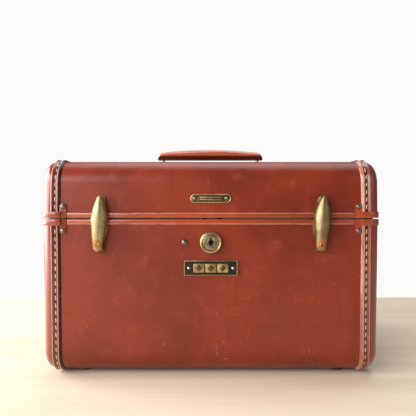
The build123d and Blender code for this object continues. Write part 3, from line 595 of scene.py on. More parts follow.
def softened(node, name, material, slot, width, segments=2, angle=32, flat=3):
    """A copy of a CAD node with its corners rounded over, in its place."""
    body = nodes[node]["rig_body"]
    piece = nodes[node].copy()
    piece.data = nodes[node].data.copy()
    for key in list(piece.keys()):
        del piece[key]
    piece.parent = None
    bpy.context.scene.collection.objects.link(piece)
    edit(piece)
    bpy.ops.mesh.remove_doubles(threshold=0.002 * MM)
    bpy.ops.mesh.customdata_custom_splitnormals_clear()
    bpy.ops.mesh.dissolve_limited(angle_limit=radians(flat))
    close()
    bevelled(piece, width, segments, angle)
    smooth(piece)
    return finish(piece, name, body, material, slot, node)


def copied_to(pattern, places):
    """One mesh made of a pattern repeated at several places."""
    copies = []
    for place in places:
        piece = pattern.copy()
        piece.data = pattern.data.copy()
        piece.data.transform(place)
        bpy.context.scene.collection.objects.link(piece)
        copies.append(piece)
    bpy.data.objects.remove(pattern)
    nothing_selected()
    for piece in copies:
        piece.select_set(True)
    bpy.context.view_layer.objects.active = copies[0]
    bpy.ops.object.join()
    return copies[0]


# ---- round the case's side outline
class Outline:
    """The case's outline seen from its end, walked from the front seam to the back."""

    def __init__(self, edge, shut):
        self.edge = edge
        self.shut = shut
        self.down = 1 if edge < shut else -1
        self.straight = abs(shut - edge) - side_radius
        self.arc = side_radius * pi / 2
        self.flat = (back - front) - 2 * side_radius
        self.length = 2 * self.straight + 2 * self.arc + self.flat

    def at(self, travel):
        """A place on the outline: its Y, its Z, and the Y and Z of its outward normal."""
        toward = self.down
        if travel <= self.straight:
            return front, self.edge + toward * travel, -1.0, 0.0
        travel -= self.straight
        corner_z = self.shut - toward * side_radius
        if travel <= self.arc:
            angle = travel / side_radius
            y, z = -cos(angle), toward * sin(angle)
            return front + side_radius * (1 + y), corner_z + side_radius * z, y, z
        travel -= self.arc
        if travel <= self.flat:
            return front + side_radius + travel, self.shut, 0.0, float(toward)
        travel -= self.flat
        if travel <= self.arc:
            angle = travel / side_radius
            y, z = sin(angle), toward * cos(angle)
            return back - side_radius * (1 - y), corner_z + side_radius * z, y, z
        travel -= self.arc
        return back, corner_z - toward * travel, 1.0, 0.0


outlines = {"base": Outline(base_edge, panel_bottom), "lid": Outline(lid_edge, panel_top)}
sides = {"left": -1, "right": 1}
halves_and_sides = [(half, side_name) for half in outlines for side_name in sides]

# The binding's section, from its inner edge to its outer edge: how far along the case,
# from the stitched line, and how far it stands out from the panels.
binding_section = [
    (-5.05, -0.25), (-5.0, 0.35), (-4.5, 0.75), (-3.7, 1.25), (-3.0, 1.68), (-2.5, 1.95), (-2.1, 2.05),
    (-1.75, 1.9), (-1.5, 1.4), (-1.4, 0.92), (-1.1, 0.8), (0.0, 0.76), (1.2, 0.8), (1.6, 0.92), (1.9, 1.15),
    (2.5, 1.6), (3.1, 1.92), (3.6, 2.0), (3.95, 1.75), (4.05, 0.9), (4.05, -0.25),
]
corner_steps = 14
stitch_pitch = 7.1 * MM
stitch_ends = 14 * MM
stitch_rise = 0.98
hole_rise = 0.86 * MM
hole_shift = 0.25 * MM
stitch_slant = 7


def binding_strip(half, side_name):
    """A leather binding, its section drawn out round the case like a ribbon."""
    side = sides[side_name]
    outline = outlines[half]
    bpy.ops.mesh.primitive_circle_add(vertices=len(binding_section), radius=1)
    strip = fresh()
    for vertex, (along, out) in zip(strip.data.vertices, binding_section):
        vertex.co = (side * (stitch_line + along * MM), front - out * MM, outline.edge)
    edit(strip)
    toward = -1 if outline.edge > outline.shut else 1
    corner_z = outline.shut - toward * side_radius

    def turn(centre):
        bpy.ops.mesh.spin(
            steps=corner_steps, angle=pi / 2, center=centre, axis=(toward, 0, 0), use_normal_flip=False
        )

    bpy.ops.mesh.edge_face_add()
    bpy.ops.mesh.select_all(action="SELECT")
    extrude((0, 0, toward * outline.straight))
    turn((0, front + side_radius, corner_z))
    extrude((0, outline.flat, 0))
    turn((0, back - side_radius, corner_z))
    extrude((0, 0, -toward * outline.straight))
    face_outwards(0.01 * MM)
    close()
    for vertex in strip.data.vertices:
        vertex.co.x = leaned(vertex.co.x, vertex.co.z)
    smooth(strip, 50)
    name = f"binding_{half}_{side_name}"
    return finish(strip, f"stitched_{name}", half, binding_leather, "binding_leather", name)


def stitch_row(half, side_name):
    """Cream saddle stitches lying in the binding's channel, each a little different."""
    side = sides[side_name]
    outline = outlines[half]
    bpy.ops.mesh.primitive_uv_sphere_add(segments=8, ring_count=7, radius=1)
    stitch = fresh()
    edit(stitch)
    bpy.ops.transform.resize(value=(0.50 * MM, 0.40 * MM, 2.45 * MM))
    select_where(stitch, "VERT", lambda vertex: abs(vertex.co.z) < 1.5 * MM)
    bpy.ops.transform.resize(value=(1.12, 1.1, 1.25))
    close()
    smooth(stitch, 180)
    count = int((outline.length - stitch_ends) / stitch_pitch)
    start = (outline.length - (count - 1) * stitch_pitch) / 2
    stitches, holes = [], []
    for index in range(count + 1):
        travel = start + index * stitch_pitch
        y, z, out_y, out_z = outline.at(min(travel, outline.length))
        out = Vector((0, out_y, out_z))
        along = Vector((0, -out_z, out_y)) * (1 if half == "base" else -1)
        twist = radians(side * stitch_slant + random.uniform(-4, 4))
        lie = (along * cos(twist) + along.cross(out) * sin(twist)).normalized()
        tip = lie.cross(out).normalized()
        size = random.uniform(0.93, 1.06)
        seat = Vector((leaned(side * stitch_line, z), y, z))
        turn = Matrix((tip, -out, lie)).transposed().to_4x4()
        spread = Matrix.Diagonal((size, 1, size * random.uniform(0.96, 1.05), 1))
        if index < count:
            lift = Matrix.Translation(seat + out * (stitch_rise + random.uniform(-0.06, 0.06)) * MM)
            stitches.append(lift @ turn @ spread)
        gap_y, gap_z, gap_out_y, gap_out_z = outline.at(max(2 * MM, travel - stitch_pitch / 2))
        gap_out = Vector((0, gap_out_y, gap_out_z))
        gap_seat = Vector((leaned(side * (stitch_line + hole_shift), gap_z), gap_y, gap_z))
        gap_turn = Vector((0, -1, 0)).rotation_difference(gap_out).to_matrix().to_4x4()
        holes.append(Matrix.Translation(gap_seat + gap_out * hole_rise) @ gap_turn)
    row = copied_to(stitch, stitches)
    finish(row, f"stitches_{half}_{side_name}", half, thread, "binding_leather")
    bpy.ops.mesh.primitive_cylinder_add(vertices=10, radius=0.62 * MM, depth=0.12 * MM, rotation=facing)
    hole = fresh()
    edit(hole)
    select_where(hole, "FACE", lambda face: face_middle(face).y < -0.05 * MM)
    step_in(0.15, 0.08)
    close()
    hole_row = copied_to(hole, holes)
    smooth(hole_row, 30)
    finish(hole_row, f"stitch_holes_{half}_{side_name}", half, hollow_black, "binding_leather")


for half, side_name in halves_and_sides:
    binding_strip(half, side_name)
    stitch_row(half, side_name)

# ---- covers and rims
for half in outlines:
    dress_node(f"{half}_wrap", cover_leather)
    softened(f"{half}_rim", f"edge_rim_{half}", rim_leather, "rim_leather", 0.9 * MM, 3)
for half, side_name in halves_and_sides:
    dress_node(f"{half}_end_{side_name}", end_leather_sheen)
    strap = f"strap_{half}_{side_name}"
    softened(strap, f"end_{strap}", strap_leather, "strap_leather", 0.32 * MM)


def loose_parts(node):
    """The points of each separate solid in a CAD node, a list for each."""
    mesh = bmesh.new()
    mesh.from_mesh(nodes[node].data)
    bmesh.ops.remove_doubles(mesh, verts=mesh.verts, dist=0.001 * MM)
    parts, seen = [], set()
    for first in mesh.verts:
        if first in seen:
            continue
        seen.add(first)
        part, reach = [], [first]
        while reach:
            vertex = reach.pop()
            part.append(vertex.co.copy())
            beyond = [other for edge in vertex.link_edges if (other := edge.other_vert(vertex)) not in seen]
            seen.update(beyond)
            reach.extend(beyond)
        parts.append(part)
    mesh.free()
    return parts


def dome_rivets(node, name, material, slot):
    """Rivet heads turned smooth, in place of a group of CAD ones."""
    places = []
    for part in loose_parts(node):
        outward = -1 if sum(point.y for point in part) / len(part) < middle_y else 1
        panel = front if outward < 0 else back
        xs, zs = [point.x for point in part], [point.z for point in part]
        middle_x, middle_z = (min(xs) + max(xs)) / 2, (min(zs) + max(zs)) / 2
        radius = (max(xs) - min(xs)) / 2
        outs = [outward * (point.y - panel) for point in part]
        seat = min(out for point, out in zip(part, outs) if abs(point.x - middle_x) > 0.8 * radius)
        height = max(outs) - seat
        about = Matrix.Rotation(pi if outward > 0 else 0, 4, "Z")
        turn = about @ Matrix.Rotation(random.uniform(0, 3), 4, "Y")
        places.append(Matrix.Translation((middle_x, panel + outward * seat, middle_z)) @ turn)
    bpy.ops.mesh.primitive_uv_sphere_add(segments=24, ring_count=12, radius=1, rotation=facing)
    rivet = fresh()
    edit(rivet)
    bpy.ops.mesh.bisect(plane_co=(0, 0, 0), plane_no=(0, 1, 0), clear_outer=True, use_fill=True)
    bpy.ops.mesh.select_all(action="SELECT")
    bpy.ops.transform.resize(value=(radius, height, radius), center_override=(0, 0, 0))
    close()
    row = copied_to(rivet, places)
    smooth(row, 45)
    return finish(row, name, nodes[node]["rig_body"], material, slot, node)


dome_rivets("strap_rivets_base", "dome_rivets_base", rivet_steel, "steel")
dome_rivets("strap_rivets_lid", "dome_rivets_lid", rivet_steel, "steel")
dome_rivets("lock_stud", "dome_stud", rivet_steel, "steel")
dome_rivets("initials_pins", "dome_plate_pins", steel, "steel")

# ---- lever latches
latch_tilt = radians(3)
seam_above_pivot = 28.9 * MM


class LatchFrame:
    """A latch's own directions on the front panel: up its length, across it and out."""

    def __init__(self, side_name):
        pivot = Vector(joints[f"lever_{side_name}_open"]["pos_m"])
        self.up = Vector((sin(latch_tilt), 0, cos(latch_tilt)))
        self.across = Vector((cos(latch_tilt), 0, -sin(latch_tilt)))
        self.out = Vector((0, -1, 0))
        self.seam = Vector((pivot.x, front, pivot.z)) + self.up * seam_above_pivot

    def matrix(self):
        """Takes X, Y and Z to across, inward and up, about the seam on the panel."""
        turn = Matrix((self.across, -self.out, self.up)).transposed().to_4x4()
        return Matrix.Translation(self.seam) @ turn


latch_frames = {side_name: LatchFrame(side_name) for side_name in sides}
leaf_top, leaf_bottom = 22.4 * MM, -31.6 * MM
leaf_middle = -1 * MM
leaf_widest = 8.25
lever_under = 3.0 * MM
eyelet_place = -24 * MM


def leaf_half_width(up):
    """A leaf's half width at a height above the seam: widest near the seam."""
    if up > leaf_middle:
        share = min(1, (up - leaf_middle) / (leaf_top - leaf_middle))
        return leaf_widest * MM * sqrt(max(0, 1 - share ** 1.75)) * (1 - 0.16 * share)
    share = min(1, (leaf_middle - up) / (leaf_middle - leaf_bottom))
    body = leaf_widest - 3.9 * share ** 1.1
    return body * MM * sqrt(max(0, 1 - max(0, (share - 0.9) / 0.1) ** 3.2))


def leaf_crown(up):
    """How far a leaf's crown stands out at a height above the seam."""
    share = (up + 2 * MM) / (30 * MM)
    return (11.45 - 4.9 * min(1, abs(share)) ** 2.0) * MM


def leaf_lever(side_name):
    """A crowned leaf lever: a sphere drawn out ring by ring, cut flat and hollowed."""
    bpy.ops.mesh.primitive_uv_sphere_add(segments=48, ring_count=40, radius=1)
    lever = fresh()
    for vertex in lever.data.vertices:
        turned = atan2(vertex.co.y, vertex.co.x)
        share = (1 - vertex.co.z) / 2
        height = leaf_top + (leaf_bottom - leaf_top) * share
        girth = sqrt(max(0, 1 - vertex.co.z ** 2))
        half = leaf_half_width(height) if girth > 0.01 else 0
        crown = (leaf_crown(height) - lever_under) * min(1, half / (2.6 * MM)) ** 0.5
        lift = sin(turned)
        rise = crown * (abs(lift) ** 0.92) * (1 if lift > 0 else -0.2)
        vertex.co = (half * cos(turned), -lever_under - rise, height)
    edit(lever)
    bpy.ops.mesh.remove_doubles(threshold=0.02 * MM)
    bpy.ops.mesh.bisect(plane_co=(0, -lever_under, 0), plane_no=(0, 1, 0), clear_outer=True)
    face_outwards()
    close()
    modify(lever, "SOLIDIFY", thickness=1.1 * MM, offset=-1, use_even_offset=False)
    bevelled(lever, 0.3 * MM, 2, 50)
    lever.data.transform(latch_frames[side_name].matrix())
    smooth(lever, 60)
    spot_centre = latch_frames[side_name].matrix() @ Vector((0, -9 * MM, eyelet_place))
    # Lit and shaded copies of one brass: the left lever is painted lighter and the right one darker, as
    # painted light from the window on the left.
    bright, shade = {
        "left": ((0.43, 0.37, 0.215), (0.33, 0.27, 0.135)),
        "right": ((0.33, 0.26, 0.145), (0.23, 0.165, 0.075)),
    }[side_name]
    brass = aged_brass(
        f"lever_brass_{side_name}", bright, shade, (0.16, 0.10, 0.04), 0.42, (tuple(spot_centre), 6.2 * MM)
    )
    node = f"lever_{side_name}"
    return finish(lever, f"leaf_{node}", node, brass, "brass", node)


def lever_eyelet(side_name):
    """The rolled eyelet near a lever's foot, round a dark hole."""
    sunk = 0.28 * MM
    seat = Matrix.Translation((0, sunk - leaf_crown(eyelet_place), eyelet_place))
    place = latch_frames[side_name].matrix() @ seat @ Matrix.Rotation(radians(-9), 4, "X")
    bpy.ops.mesh.primitive_torus_add(
        major_radius=1.75 * MM, minor_radius=0.42 * MM,
        major_segments=28, minor_segments=10, rotation=facing,
    )
    ring = fresh()
    ring.data.transform(place)
    smooth(ring, 180)
    finish(ring, f"lever_eyelet_{side_name}", f"lever_{side_name}", fitting_brass, "brass")
    bpy.ops.mesh.primitive_cylinder_add(vertices=24, radius=1.5 * MM, depth=0.8 * MM, rotation=facing)
    cup = fresh()
    edit(cup)
    select_where(cup, "FACE", lambda face: face_middle(face).y < -0.3 * MM)
    step_in(0.5, 0.35)
    close()
    cup.data.transform(place)
    smooth(cup)
    finish(cup, f"eyelet_cup_{side_name}", f"lever_{side_name}", dark_brass, "dark_brass")


for side_name in sides:
    leaf_lever(side_name)
    lever_eyelet(side_name)
    softened(f"latch_plate_{side_name}", f"leaf_backplate_{side_name}", fitting_brass, "brass", 0.3 * MM)
    dress_node(f"link_{side_name}", steel)
    dress_node(f"link_pin_{side_name}", dark_steel)
softened("latch_keepers", "leaf_keepers", fitting_brass, "brass", 0.3 * MM)
dress_node("lever_pins", dark_steel)

# ---- lock
lock_centre = Vector(joints["key_turn"]["pos_m"])
lock_centre.y = front


def lathed(section, centre, steps=56):
    """A ring turned about an axis square to the panel, from its section: radius and out."""
    bpy.ops.mesh.primitive_circle_add(vertices=len(section), radius=1)
    ring = fresh()
    for vertex, (radius, out) in zip(ring.data.vertices, section):
        vertex.co = (centre.x + radius * MM, centre.y - out * MM, centre.z)
    edit(ring)
    bpy.ops.mesh.spin(steps=steps, angle=2 * pi, center=tuple(centre), axis=(0, 1, 0), use_normal_flip=False)
    face_outwards(0.01 * MM)
    close()
    return smooth(ring)


ring_radius = (corners("lock_ring")[1].x - corners("lock_ring")[0].x) / 2 / MM
ring_section = [
    (7.45, 0.0), (7.42, 2.6), (7.55, 3.2), (7.8, 3.45), (8.1, 3.3), (8.3, 3.35), (8.7, 4.0), (9.2, 4.5),
    (ring_radius - 0.85, 4.35), (ring_radius - 0.3, 3.6), (ring_radius - 0.05, 2.7), (ring_radius, 1.6),
    (ring_radius, 0.0),
]
finish(lathed(ring_section, lock_centre), "lock_bezel", "base", lever_brass, "brass", "lock_ring")
softened("lock_cylinder", "keyed_face", face_brass, "brass", 0.14 * MM, 2, 40)
face_out = front - corners("lock_cylinder")[0].y
guide_section = [(2.35, 3.3), (2.32, 3.75), (2.5, 3.95), (2.85, 3.95), (3.1, 3.75), (3.15, 3.3)]
guide = lathed([(radius, out + face_out / MM - 3.62) for radius, out in guide_section], lock_centre, 36)
finish(guide, "keyhole_guide", "lock_cylinder", dark_brass, "dark_brass")


def keyhole_shadow():
    """The dark inside of the keyhole: a round hole with its slot standing over it."""
    bpy.ops.mesh.primitive_cylinder_add(vertices=28, radius=2.28 * MM, depth=0.4 * MM, rotation=facing)
    hole = fresh()
    edit(hole)
    select_where(
        hole, "FACE",
        lambda face: abs(face_middle(face).x) < 0.7 * MM
        and face_middle(face).z > 1.9 * MM and abs(face.normal.y) < 0.1,
    )
    extrude((0, 0, 2.5 * MM))
    bpy.ops.mesh.select_all(action="SELECT")
    face = corners("lock_cylinder")[0].y
    bpy.ops.transform.translate(value=(lock_centre.x, face + 0.22 * MM, lock_centre.z))
    close()
    smooth(hole, 30)
    finish(hole, "keyhole_depth", "lock_cylinder", hollow_black, "dark_brass")


keyhole_shadow()
softened("lock_case", "lock_housing", dark_brass, "dark_brass", 0.3 * MM)
softened("lid_strike", "strike_plate", steel, "steel", 0.2 * MM)
dress_node("lock_bolt", steel)

# ---- badge
badge_low, badge_high = corners("badge")
badge_middle = (badge_low + badge_high) / 2


def stadium(length, height):
    """A flat plate with half-round ends, facing out of the front panel."""
    bpy.ops.mesh.primitive_circle_add(vertices=48, radius=height / 2, fill_type="NGON", rotation=facing)
    plate = fresh()
    reach, middle = (length - height) / 2, 0.0001 * MM
    for vertex in plate.data.vertices:
        if abs(vertex.co.x) > middle:
            vertex.co.x += reach if vertex.co.x > 0 else -reach
    return plate


def badge_layer(length, height, proud, steps, place, angle, name, material, slot, *replaced):
    """A stadium drawn out and stepped in by widths and moves, in millimetres."""
    plate = stadium(length, height)
    edit(plate)
    extrude((0, -proud, 0))
    for width, inward in steps:
        step_in(width, inward)
    face_outwards()
    bpy.ops.transform.translate(value=place)
    close()
    smooth(plate, angle)
    finish(plate, name, "lid", material, slot, *replaced)


def badge_ribs():
    """Two long plain ribs, rounded at their ends, along the badge's floor."""
    bpy.ops.mesh.primitive_uv_sphere_add(segments=16, ring_count=10, radius=1)
    rib = fresh()
    edit(rib)
    bpy.ops.transform.resize(value=(0.85 * MM, 0.6 * MM, 0.7 * MM))
    for side in sides.values():
        select_where(rib, "VERT", lambda vertex: side * vertex.co.x > 0.1 * MM)
        bpy.ops.transform.translate(value=(side * 9.6 * MM, 0, 0))
    close()
    seat, spread = Vector((badge_middle.x, front - 1.0 * MM, badge_middle.z)), Vector((0, 0, 1.05 * MM))
    places = [Matrix.Translation(seat + side * spread) for side in sides.values()]
    relief = copied_to(rib, places)
    smooth(relief, 60)
    finish(relief, "badge_ribs", "lid", bead_brass, "brass")


badge_length, badge_height = badge_high.x - badge_low.x, badge_high.z - badge_low.z
# A dished plate with a raised, rolled border, and in it a toned floor.
badge_layer(
    badge_length, badge_height, 1.15 * MM, ((0.35, -0.3), (0.45, 0), (0.35, 0.55), (0.5, 0.12)),
    (badge_middle.x, front, badge_middle.z), 60, "badge_stadium", badge_brass, "brass", "badge",
)
badge_layer(
    badge_length - 2.6 * MM, badge_height - 2.4 * MM, 0.5 * MM, ((0.3, -0.1),),
    (badge_middle.x, front - 0.42 * MM, badge_middle.z), 40, "badge_floor", badge_floor_brass, "dark_brass",
)
badge_ribs()
rivet_low, rivet_high = corners("badge_rivets")
rivet_reach = rivet_high.x - 1.75 * MM
for side_name, side in sides.items():
    seat = Vector((side * rivet_reach, front, (rivet_low.z + rivet_high.z) / 2))
    cup = lathed([(1.45, 0.6), (1.5, 1.15), (1.8, 1.5), (2.25, 1.45), (2.6, 1.1), (2.65, 0.6)], seat, 28)
    finish(cup, f"badge_cup_{side_name}", "lid", dark_brass, "dark_brass")
dome_rivets("badge_rivets", "dome_badge_pins", rivet_steel, "steel")

# ---- initials plate
plate_low, plate_high = corners("initials_plate")
tile_low, tile_high = corners("initials_tiles")
softened("initials_plate", "enamel_plate", enamel, "black_enamel", 0.25 * MM)


def plate_edge():
    """The thin brass edge bent up round the black plate."""
    bpy.ops.mesh.primitive_plane_add(size=1, rotation=facing)
    edge = fresh()
    middle = (plate_low + plate_high) / 2
    larger = 0.5 * MM
    for vertex in edge.data.vertices:
        vertex.co.x = middle.x + vertex.co.x * (plate_high.x - plate_low.x + larger)
        vertex.co.z = middle.z + vertex.co.z * (plate_high.z - plate_low.z + larger)
        vertex.co.y = front
    edit(edge)
    step_in(0.62)
    bpy.ops.mesh.delete(type="ONLY_FACE")
    bpy.ops.mesh.select_all(action="SELECT")
    extrude((0, -1.65 * MM, 0))
    face_outwards()
    close()
    bevelled(edge, 0.2 * MM, 2, 40)
    smooth(edge)
    finish(edge, "plate_brass_edge", "base", fitting_brass, "brass")


plate_edge()
softened("initials_tiles", "brass_tiles", fitting_brass, "brass", 0.22 * MM)


def tile_motif():
    """A raised lozenge in a dark sunk border, the same plain motif on each tile."""
    middle = (tile_low + tile_high) / 2
    pitch = (tile_high.x - tile_low.x) / 3 + 0.2 * MM
    bpy.ops.mesh.primitive_cylinder_add(vertices=4, radius=1, depth=0.5 * MM, rotation=facing)
    motif = fresh()
    edit(motif)
    bpy.ops.transform.resize(value=(3.7 * MM, 1, 3.1 * MM))
    select_where(motif, "FACE", lambda item: face_middle(item).y < -0.2 * MM)
    step_in(0.6, 0.22)
    step_in(0.4, -0.3)
    close()
    bevelled(motif, 0.08 * MM, 1, 30)
    seat, step = Vector((middle.x, tile_low.y - 0.1 * MM, middle.z)), Vector((pitch, 0, 0))
    places = [Matrix.Translation(seat + index * step) for index in (-1, 0, 1)]
    row = copied_to(motif, places)
    smooth(row, 30)
    finish(row, "tile_lozenges", "base", dark_brass, "dark_brass")


tile_motif()

# ---- handle
softened("handle_grip", "stitched_grip", handle_leather, "handle_leather", 1.3 * MM, 4, 25)
softened("handle_brackets", "grip_brackets", fitting_brass, "brass", 0.35 * MM)
softened("handle_tangs", "grip_tangs", fitting_brass, "brass", 0.3 * MM)
dress_node("handle_pins", steel)

# ---- hinges, feet
softened("hinge_leaves_base", "hinge_halves_base", hinge_brass, "brass", 0.25 * MM)
softened("hinge_leaves_lid", "hinge_halves_lid", hinge_brass, "brass", 0.25 * MM)
dress_node("hinge_pins", dark_steel)
softened("feet", "metal_feet", dark_brass, "foot_metal", 0.7 * MM, 3, 40)


def hinge_screws(half):
    """Dome screws in the hinge leaves of one half, three to a leaf."""
    low, high = corners(f"hinge_leaves_{half}")
    leaf_width, leaf_proud = 40 * MM, 1.3 * MM
    from_edge, between = 5.5 * MM, 9 * MM
    bpy.ops.mesh.primitive_uv_sphere_add(segments=16, ring_count=10, radius=2.1 * MM)
    screw = fresh()
    edit(screw)
    bpy.ops.transform.resize(value=(1, 0.5, 1), center_override=(0, 0, 0))
    bpy.ops.mesh.bisect(plane_co=(0, 0, 0), plane_no=(0, 1, 0), clear_inner=True, use_fill=True)
    close()
    outer, inward = (low.z + from_edge, between) if half == "base" else (high.z - from_edge, -between)
    places = []
    for side in (-1, 1):
        middle = side * (high.x - leaf_width / 2)
        for share, height in ((-0.34, outer), (0.34, outer), (0, outer + inward)):
            turn = Matrix.Rotation(random.uniform(0, pi), 4, "Y")
            seat = (middle + share * leaf_width, back + leaf_proud, height)
            places.append(Matrix.Translation(seat) @ turn)
    row = copied_to(screw, places)
    smooth(row, 45)
    finish(row, f"hinge_screws_{half}", half, steel, "steel")


for half in outlines:
    hinge_screws(half)

# ---- interior
softened("base_lip", "covered_lip", lining_cloth, "lining_fabric", 0.4 * MM)
softened("tray_ledges", "covered_ledges", lining_cloth, "lining_fabric", 0.4 * MM)
softened("tray_dividers", "covered_dividers", tray_cloth, "tray_fabric", 0.8 * MM, 3)
softened("tray", "covered_tray", tray_cloth, "tray_fabric", 0.9 * MM, 3)
softened("tray_grips", "ribbon_grips", pocket_satin, "pocket_fabric", 0.3 * MM)
softened("stay_arm", "slotted_stay", fitting_brass, "brass", 0.2 * MM)
dress_node("stay_stud", dark_brass)
dress_node("stay_pivot", dark_brass)


def lining_box(half):
    """A cloth lining taken up the walls of one half, thin, with rounded long corners."""
    low, high = corners(f"{half}_lining")
    closed_z, open_z = (low.z, high.z) if half == "base" else (high.z, low.z)
    play, near = Vector((0.2 * MM, 0.2 * MM, 0.2 * MM)), 1 * MM
    bpy.ops.mesh.primitive_cube_add(size=1, location=(low + high) / 2)
    box = fresh()
    edit(box)
    bpy.ops.transform.resize(value=high - low - play, center_override=(low + high) / 2)
    select_where(box, "FACE", lambda face: abs(face_middle(face).z - open_z) < near)
    bpy.ops.mesh.delete(type="FACE")
    select_where(
        box, "EDGE",
        lambda edge: all(abs(vertex.co.z - closed_z) < near for vertex in edge.verts)
        and abs(edge.verts[0].co.y - edge.verts[1].co.y) < near,
    )
    bpy.ops.mesh.bevel(offset=side_radius - 4.3 * MM, segments=8)
    select_where(
        box, "EDGE",
        lambda edge: not edge.is_boundary and len(edge.link_faces) == 2
        and edge.link_faces[0].normal.angle(edge.link_faces[1].normal) > radians(60),
    )
    bpy.ops.mesh.bevel(offset=2.2 * MM, segments=3)
    close()
    for vertex in box.data.vertices:
        vertex.co.x -= lean(vertex.co.z) if vertex.co.x > 0 else -lean(vertex.co.z)
    modify(box, "SOLIDIFY", thickness=1.0 * MM, offset=-1, use_even_offset=True)
    smooth(box)
    finish(box, f"cloth_lining_{half}", half, lining_cloth, "lining_fabric", f"{half}_lining")


for half in outlines:
    lining_box(half)


def piping(low, high, height, radius, thickness, name, body, material, slot):
    """A covered cord run round a rounded rectangle, at one height."""
    bpy.ops.mesh.primitive_plane_add(size=1)
    loop = fresh()
    for vertex in loop.data.vertices:
        vertex.co.x = low.x if vertex.co.x < 0 else high.x
        vertex.co.y = low.y if vertex.co.y < 0 else high.y
        vertex.co.z = height
    bpy.ops.object.mode_set(mode="EDIT")
    bpy.ops.mesh.select_all(action="SELECT")
    bpy.ops.mesh.bevel(offset=radius, segments=6, affect="VERTICES")
    bpy.ops.mesh.select_all(action="SELECT")
    bpy.ops.mesh.delete(type="ONLY_FACE")
    close()
    bpy.ops.object.convert(target="CURVE")
    loop = bpy.context.object
    loop.data.bevel_depth = thickness
    loop.data.bevel_resolution = 3
    bpy.ops.object.convert(target="MESH")
    loop = fresh()
    edit(loop)
    bpy.ops.mesh.remove_doubles(threshold=0.01 * MM)
    bpy.ops.mesh.normals_make_consistent(inside=False)
    close()
    smooth(loop, 60)
    return finish(loop, name, body, material, slot)


tray_low, tray_high = corners("tray")
inset = Vector((1.2 * MM, 1.2 * MM, 0))
piping(
    tray_low + inset, tray_high - inset, tray_high.z, 3 * MM, 1.1 * MM, "tray_piping", "tray",
    rim_leather, "rim_leather",
)


def quilted_ceiling():
    """The padded, diamond-quilted cloth inside the lid's top, flat behind the mirror."""
    low, high = corners("lid_lining")
    frame_low, frame_high = corners("mirror_frame")
    ceiling = frame_high.z
    margin, tucked, rolled = 17 * MM, 5 * MM, 6 * MM
    bpy.ops.mesh.primitive_grid_add(x_subdivisions=130, y_subdivisions=80, size=1)
    quilt = fresh()
    edit(quilt)
    bpy.ops.transform.resize(value=(high.x - low.x - 0.6 * margin, high.y - low.y - 2 * margin, 1))
    bpy.ops.transform.translate(value=(0, middle_y, ceiling))
    close()
    pitch, base_gap, puff_height = 24 * MM, 0.15, 2.4
    reach = Vector(((high.x - low.x) / 2 - 0.3 * margin, (high.y - low.y) / 2 - margin))
    hidden = (frame_high - frame_low) / 2 - Vector((tucked, tucked, 0))
    frame_y = (frame_low.y + frame_high.y) / 2 - middle_y
    for vertex in quilt.data.vertices:
        x, y = vertex.co.x, vertex.co.y - middle_y
        puff = sqrt(abs(sin(pi * (x + y) / pitch) * sin(pi * (x - y) / pitch)))
        edge = min(1, (reach.x - abs(x)) / rolled, (reach.y - abs(y)) / rolled)
        behind = abs(x) < hidden.x and abs(y - frame_y) < hidden.y
        vertex.co.z = ceiling - (base_gap + (0 if behind else puff_height * puff * sqrt(max(0, edge)))) * MM
    modify(quilt, "SOLIDIFY", thickness=0.5 * MM, offset=0)
    smooth(quilt, 60)
    finish(quilt, "quilted_lid_pad", "lid", pocket_satin, "lining_fabric")


quilted_ceiling()
frame_pad = softened("mirror_frame", "padded_mirror_frame", pocket_satin, "lining_fabric", 2.2 * MM, 5, 40)
dress_node("mirror", mirror_glass)


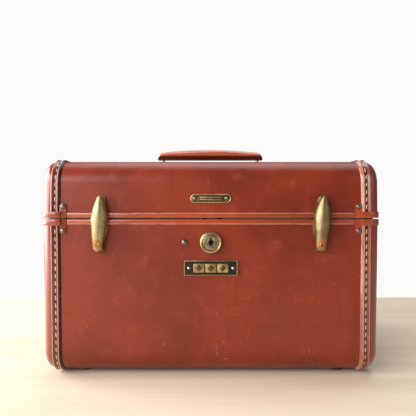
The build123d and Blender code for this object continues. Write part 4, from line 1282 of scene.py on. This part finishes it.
def gathered_pocket():
    """The elastic-topped back pocket: satin gathered on to a cord and puffed below it."""
    low, high = corners("back_pocket")
    gathers, fold_depth = 26, 1.25 * MM
    bpy.ops.mesh.primitive_grid_add(x_subdivisions=260, y_subdivisions=26, size=1)
    pocket = fresh()
    width, depth, height = high - low
    phases = [random.uniform(-0.5, 0.5) for _ in range(gathers + 2)]
    for vertex in pocket.data.vertices:
        across, up = vertex.co.x + 0.5, vertex.co.y + 0.5
        lane = across * gathers
        sway = phases[int(lane)] * (1 - lane % 1) + phases[int(lane) + 1] * (lane % 1)
        fold = sin(2 * pi * lane + 1.6 * sway * up)
        depth_here = (0.35 + 0.65 * up) * fold_depth
        belly = sin(pi * min(1, up * 0.93)) ** 0.7 * sin(pi * min(1, max(0, across))) ** 0.25
        vertex.co = (
            low.x + across * width,
            high.y - 0.8 * MM - belly * (depth - 3.2 * MM) - depth_here * (1 + fold) * 0.5,
            low.z + up * (height - 2 * MM) + (up > 0.97) * 0.5 * MM * fold,
        )
    modify(pocket, "SOLIDIFY", thickness=0.4 * MM, offset=0)
    smooth(pocket, 60)
    finish(pocket, "gathered_pocket", "base", pocket_satin, "pocket_fabric", "back_pocket")
    band_low = Vector((low.x, high.y - 3.4 * MM, 0))
    band_high = Vector((high.x, high.y - 0.6 * MM, 0))
    band = piping(
        band_low, band_high, high.z - 1.6 * MM, 1.2 * MM, 1.1 * MM, "pocket_elastic", "base",
        pocket_satin, "pocket_fabric",
    )


gathered_pocket()

# ---- light and floor
world = bpy.data.worlds.new("studio")
bpy.context.scene.world = world
world.use_nodes = True
sky = world.node_tree.nodes["Background"]
sky.inputs["Color"].default_value = (1.0, 0.99, 0.98, 1)
seen = world.node_tree.nodes.new("ShaderNodeLightPath")
brightness = world.node_tree.nodes.new("ShaderNodeMix")
brightness.inputs["A"].default_value = 0.16
brightness.inputs["B"].default_value = 0.97
world.node_tree.links.new(seen.outputs["Is Camera Ray"], brightness.inputs["Factor"])
world.node_tree.links.new(brightness.outputs["Result"], sky.inputs["Strength"])


def soft_light(name, place, size, power, tone=(1, 1, 1)):
    """A soft rectangular light aimed at the middle of the case."""
    data = bpy.data.lights.new(name, "AREA")
    data.shape = "RECTANGLE"
    data.size, data.size_y = size
    data.energy = power
    data.color = tone
    light = bpy.data.objects.new(name, data)
    light.location = place
    aim = Vector((0, 0, 0.12)) - Vector(place)
    light.rotation_euler = aim.to_track_quat("-Z", "Y").to_euler()
    bpy.context.scene.collection.objects.link(light)


soft_light("window", (-1.15, -1.2, 0.7), (1.5, 1.0), 30, (1.0, 0.985, 0.97))
soft_light("side_window", (-1.25, 0.0, 0.45), (1.5, 1.0), 34, (1.0, 0.985, 0.97))
soft_light("fill", (1.5, -1.3, 0.8), (1.2, 1.2), 4)
soft_light("top", (0.1, 0.4, 1.6), (1.6, 1.2), 17)

table_size, behind_front = (2.6, 1.6), 0.38
bpy.ops.mesh.primitive_plane_add(size=1, location=(0, front + behind_front - table_size[1] / 2, 0))
table = bpy.context.object
take(table)
bpy.ops.transform.resize(value=(*table_size, 1))
settle(table, "table_top")
dress(table, pale_floor("table_top"))

bpy.context.scene.view_settings.view_transform = "Standard"
